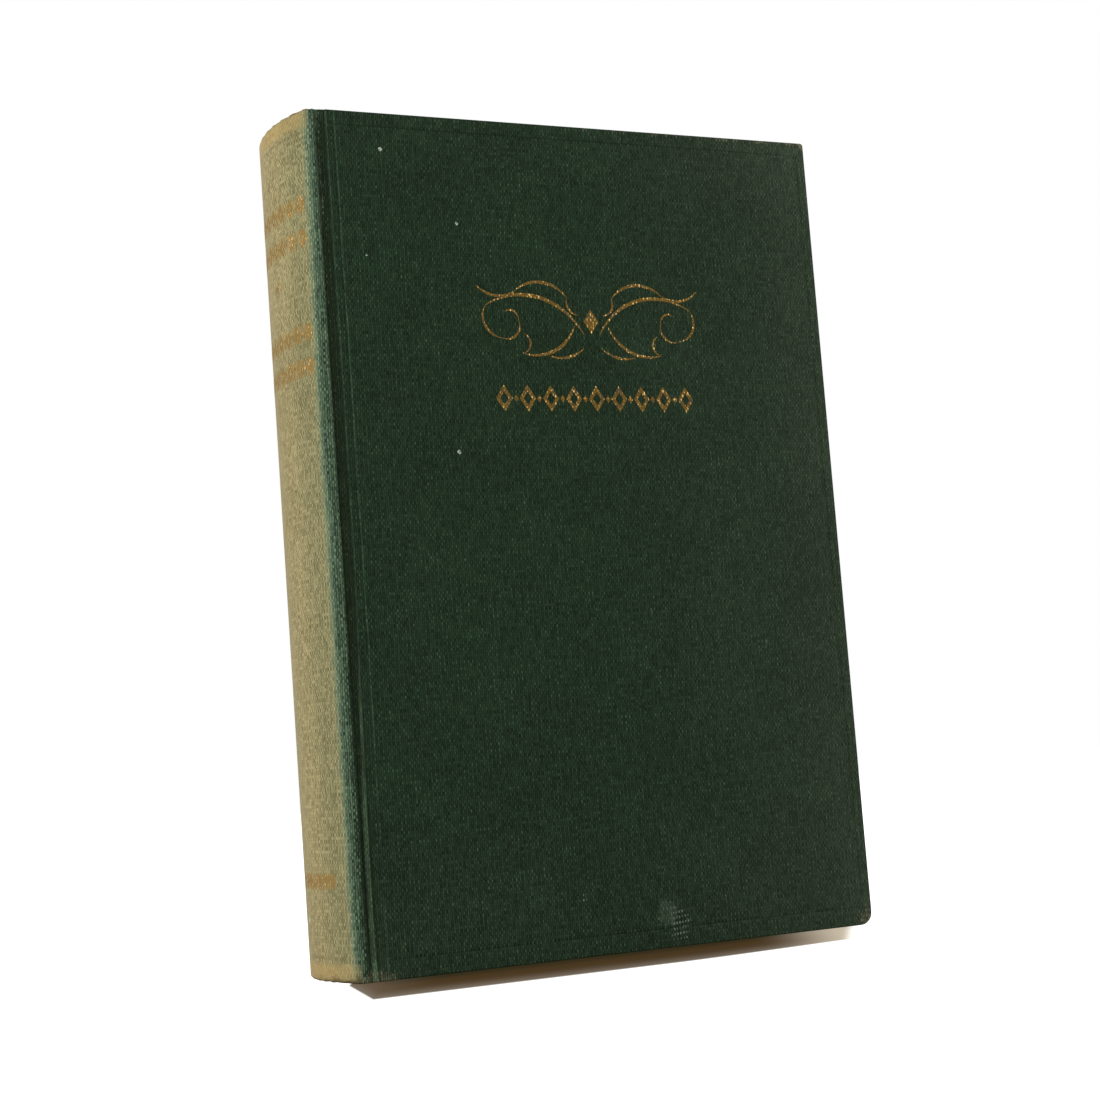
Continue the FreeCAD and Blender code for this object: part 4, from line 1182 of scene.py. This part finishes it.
def floor_finish(azimuth):
    """White floor. Seen from the camera and in reflections, it has a painted brown shadow in front of and
    under the book and glows white beyond it; to the light that reaches the book it is plain and pale.
    """
    shader = Shader("floor", roughness=1.0, specular=0.0)
    x, y, z = shader.object_place()
    from_cover = -1.0 * y - HALF
    ahead = shader.most(from_cover, 0.0)
    boards, spine, fore_edge = 28 * MM, 12 * MM, 5 * MM      # how far the shade goes on under each
    under_book = shader.ramp(x, SHOULDER, SPINE, boards, spine)
    under_book = under_book - shader.ramp(x, FORE - 4 * MM, FORE, 0.0, boards - fore_edge)
    behind = shader.most(-1.0 * from_cover - under_book, 0.0)
    aside = x + from_cover * math.tan(azimuth)
    left = shader.most(-61 * MM - aside, 0.0)
    away = ahead + left * 3.7 + behind * 8.0 + shader.ramp(aside, 10 * MM, FORE, 0.0, 6 * MM)
    past_end = shader.ramp(aside + ahead * 0.2, 62 * MM, 68 * MM)
    last, gone = 34 * MM, 38.5 * MM                          # where the shade begins to end, and ends
    white = shader.most(shader.ramp(away, last, gone), past_end)
    # Painted shadow: dark brown at the book's foot, paler further out and towards its left and right ends
    far = shader.ramp(away, 12 * MM, 38 * MM)
    lit_from_left = shader.ramp(aside, -46 * MM, -72 * MM)
    lit_from_right = shader.ramp(aside, 30 * MM, 63 * MM)
    near = shader.mix(shader.ramp(away, 2 * MM, 14 * MM), shade(68, 58, 36), shade(88, 68, 42))
    near = shader.mix(lit_from_left * 0.4, near, shade(150, 134, 116))
    painted_shadow = shader.mix(far * far, near, shade(136, 124, 110))
    painted_shadow = shader.mix(lit_from_right * lit_from_right, painted_shadow, shade(242, 226, 202))
    plain = shade(222, 220, 216)
    seen = shader.seen_directly()
    shader.paint(shader.mix(seen, plain, shader.mix(white, painted_shadow, plain)))
    shader.feed(shader.surface.inputs["Emission Color"], WHITE)
    shader.feed(shader.surface.inputs["Emission Strength"], seen * white)
    return shader.material


def make_world(stage):
    """Even light from all round, which looks white wherever it is seen directly."""
    world = bpy.data.worlds.new("studio")
    bpy.context.scene.world = world
    world.use_nodes = True
    nodes = Nodes(world.node_tree)
    background = nodes.tree.nodes["Background"]
    nodes.feed(background.inputs["Color"], WHITE)
    nodes.feed(background.inputs["Strength"], nodes.blend(nodes.seen_directly(), stage.sky, 1.0))


def add_lamp(name, place, aim, size, power):
    lamp = bpy.data.lights.new(name, "AREA")
    lamp.shape = "SQUARE"
    lamp.size = size
    lamp.energy = power
    holder = bpy.data.objects.new(name, lamp)
    holder.location = place
    holder.rotation_mode = "QUATERNION"
    holder.rotation_quaternion = (Vector(aim) - Vector(place)).to_track_quat("-Z", "Y")
    bpy.context.scene.collection.objects.link(holder)


def add_camera(stage):
    aim = Vector(((FORE + SPINE) / 2 + stage.aside, -HALF, HEIGHT / 2 - stage.lower))
    level = math.cos(stage.elevation)
    forward = Vector((
        math.sin(stage.azimuth) * level, math.cos(stage.azimuth) * level, math.sin(stage.elevation)))
    data = bpy.data.cameras.new("camera")
    data.lens = stage.lens
    data.sensor_width = SENSOR
    camera = bpy.data.objects.new("camera", data)
    camera.location = aim - forward * stage.distance
    camera.rotation_mode = "QUATERNION"
    camera.rotation_quaternion = (
        forward.to_track_quat("-Z", "Y") @ Quaternion((0.0, 0.0, 1.0), -stage.roll))
    bpy.context.scene.collection.objects.link(camera)
    bpy.context.scene.camera = camera


class BOOK_OT_stage(bpy.types.Operator):
    """Adds the floor, the lamps and the camera"""
    bl_idname = "book.stage"
    bl_label = "Stage"

    def execute(self, context):
        stage = context.scene.book.stage
        context.scene.view_settings.view_transform = "Standard"
        bm = bmesh.new()
        bmesh.ops.create_grid(bm, x_segments=1, y_segments=1, size=FLOOR_HALF)
        finish_piece(bm, "floor", floor_finish(stage.azimuth), smooth=False)
        make_world(stage)
        middle = (0.0, 0.0, HEIGHT / 2)
        add_lamp("key", KEY_PLACE, middle, KEY_SIZE, stage.key)
        add_lamp("fill", FILL_PLACE, middle, FILL_SIZE, stage.key * FILL_SHARE)
        add_camera(stage)
        return {"FINISHED"}


class BOOK_PT_panel(bpy.types.Panel):
    """The pieces of the book, in the 3D view's sidebar"""
    bl_idname = "BOOK_PT_panel"
    bl_label = "Cloth-bound book"
    bl_space_type = "VIEW_3D"
    bl_region_type = "UI"
    bl_category = "Book"

    def draw(self, context):
        book = context.scene.book
        for title, settings in (
            ("Case", book.case), ("Leaves", book.block), ("Cloth", book.cloth), ("Stage", book.stage),
        ):
            column = self.layout.box().column()
            column.label(text=title)
            for key in settings.__annotations__:
                column.prop(settings, key)
        for operator in OPERATORS:
            self.layout.operator(operator.bl_idname)


SETTINGS = (CaseSettings, BlockSettings, ClothSettings, StageSettings, BookSettings)
OPERATORS = (
    BOOK_OT_stage, BOOK_OT_case_cloth, BOOK_OT_endpapers, BOOK_OT_leaves, BOOK_OT_inner_parts,
    BOOK_OT_headbands, BOOK_OT_gilding,
)


def register():
    for item in (*SETTINGS, *OPERATORS, BOOK_PT_panel):
        bpy.utils.register_class(item)
    bpy.types.Scene.book = PointerProperty(
        type=BookSettings, name="Book", description="Settings of the book")


def unregister():
    del bpy.types.Scene.book
    for item in (BOOK_PT_panel, *reversed(OPERATORS), *reversed(SETTINGS)):
        bpy.utils.unregister_class(item)


def main():
    register()
    bpy.ops.book.stage()
    bpy.ops.book.case_cloth()
    bpy.ops.book.endpapers()
    bpy.ops.book.leaves()
    bpy.ops.book.inner_parts()
    bpy.ops.book.headbands()
    bpy.ops.book.gilding()


if __name__ == "__main__":
    main()
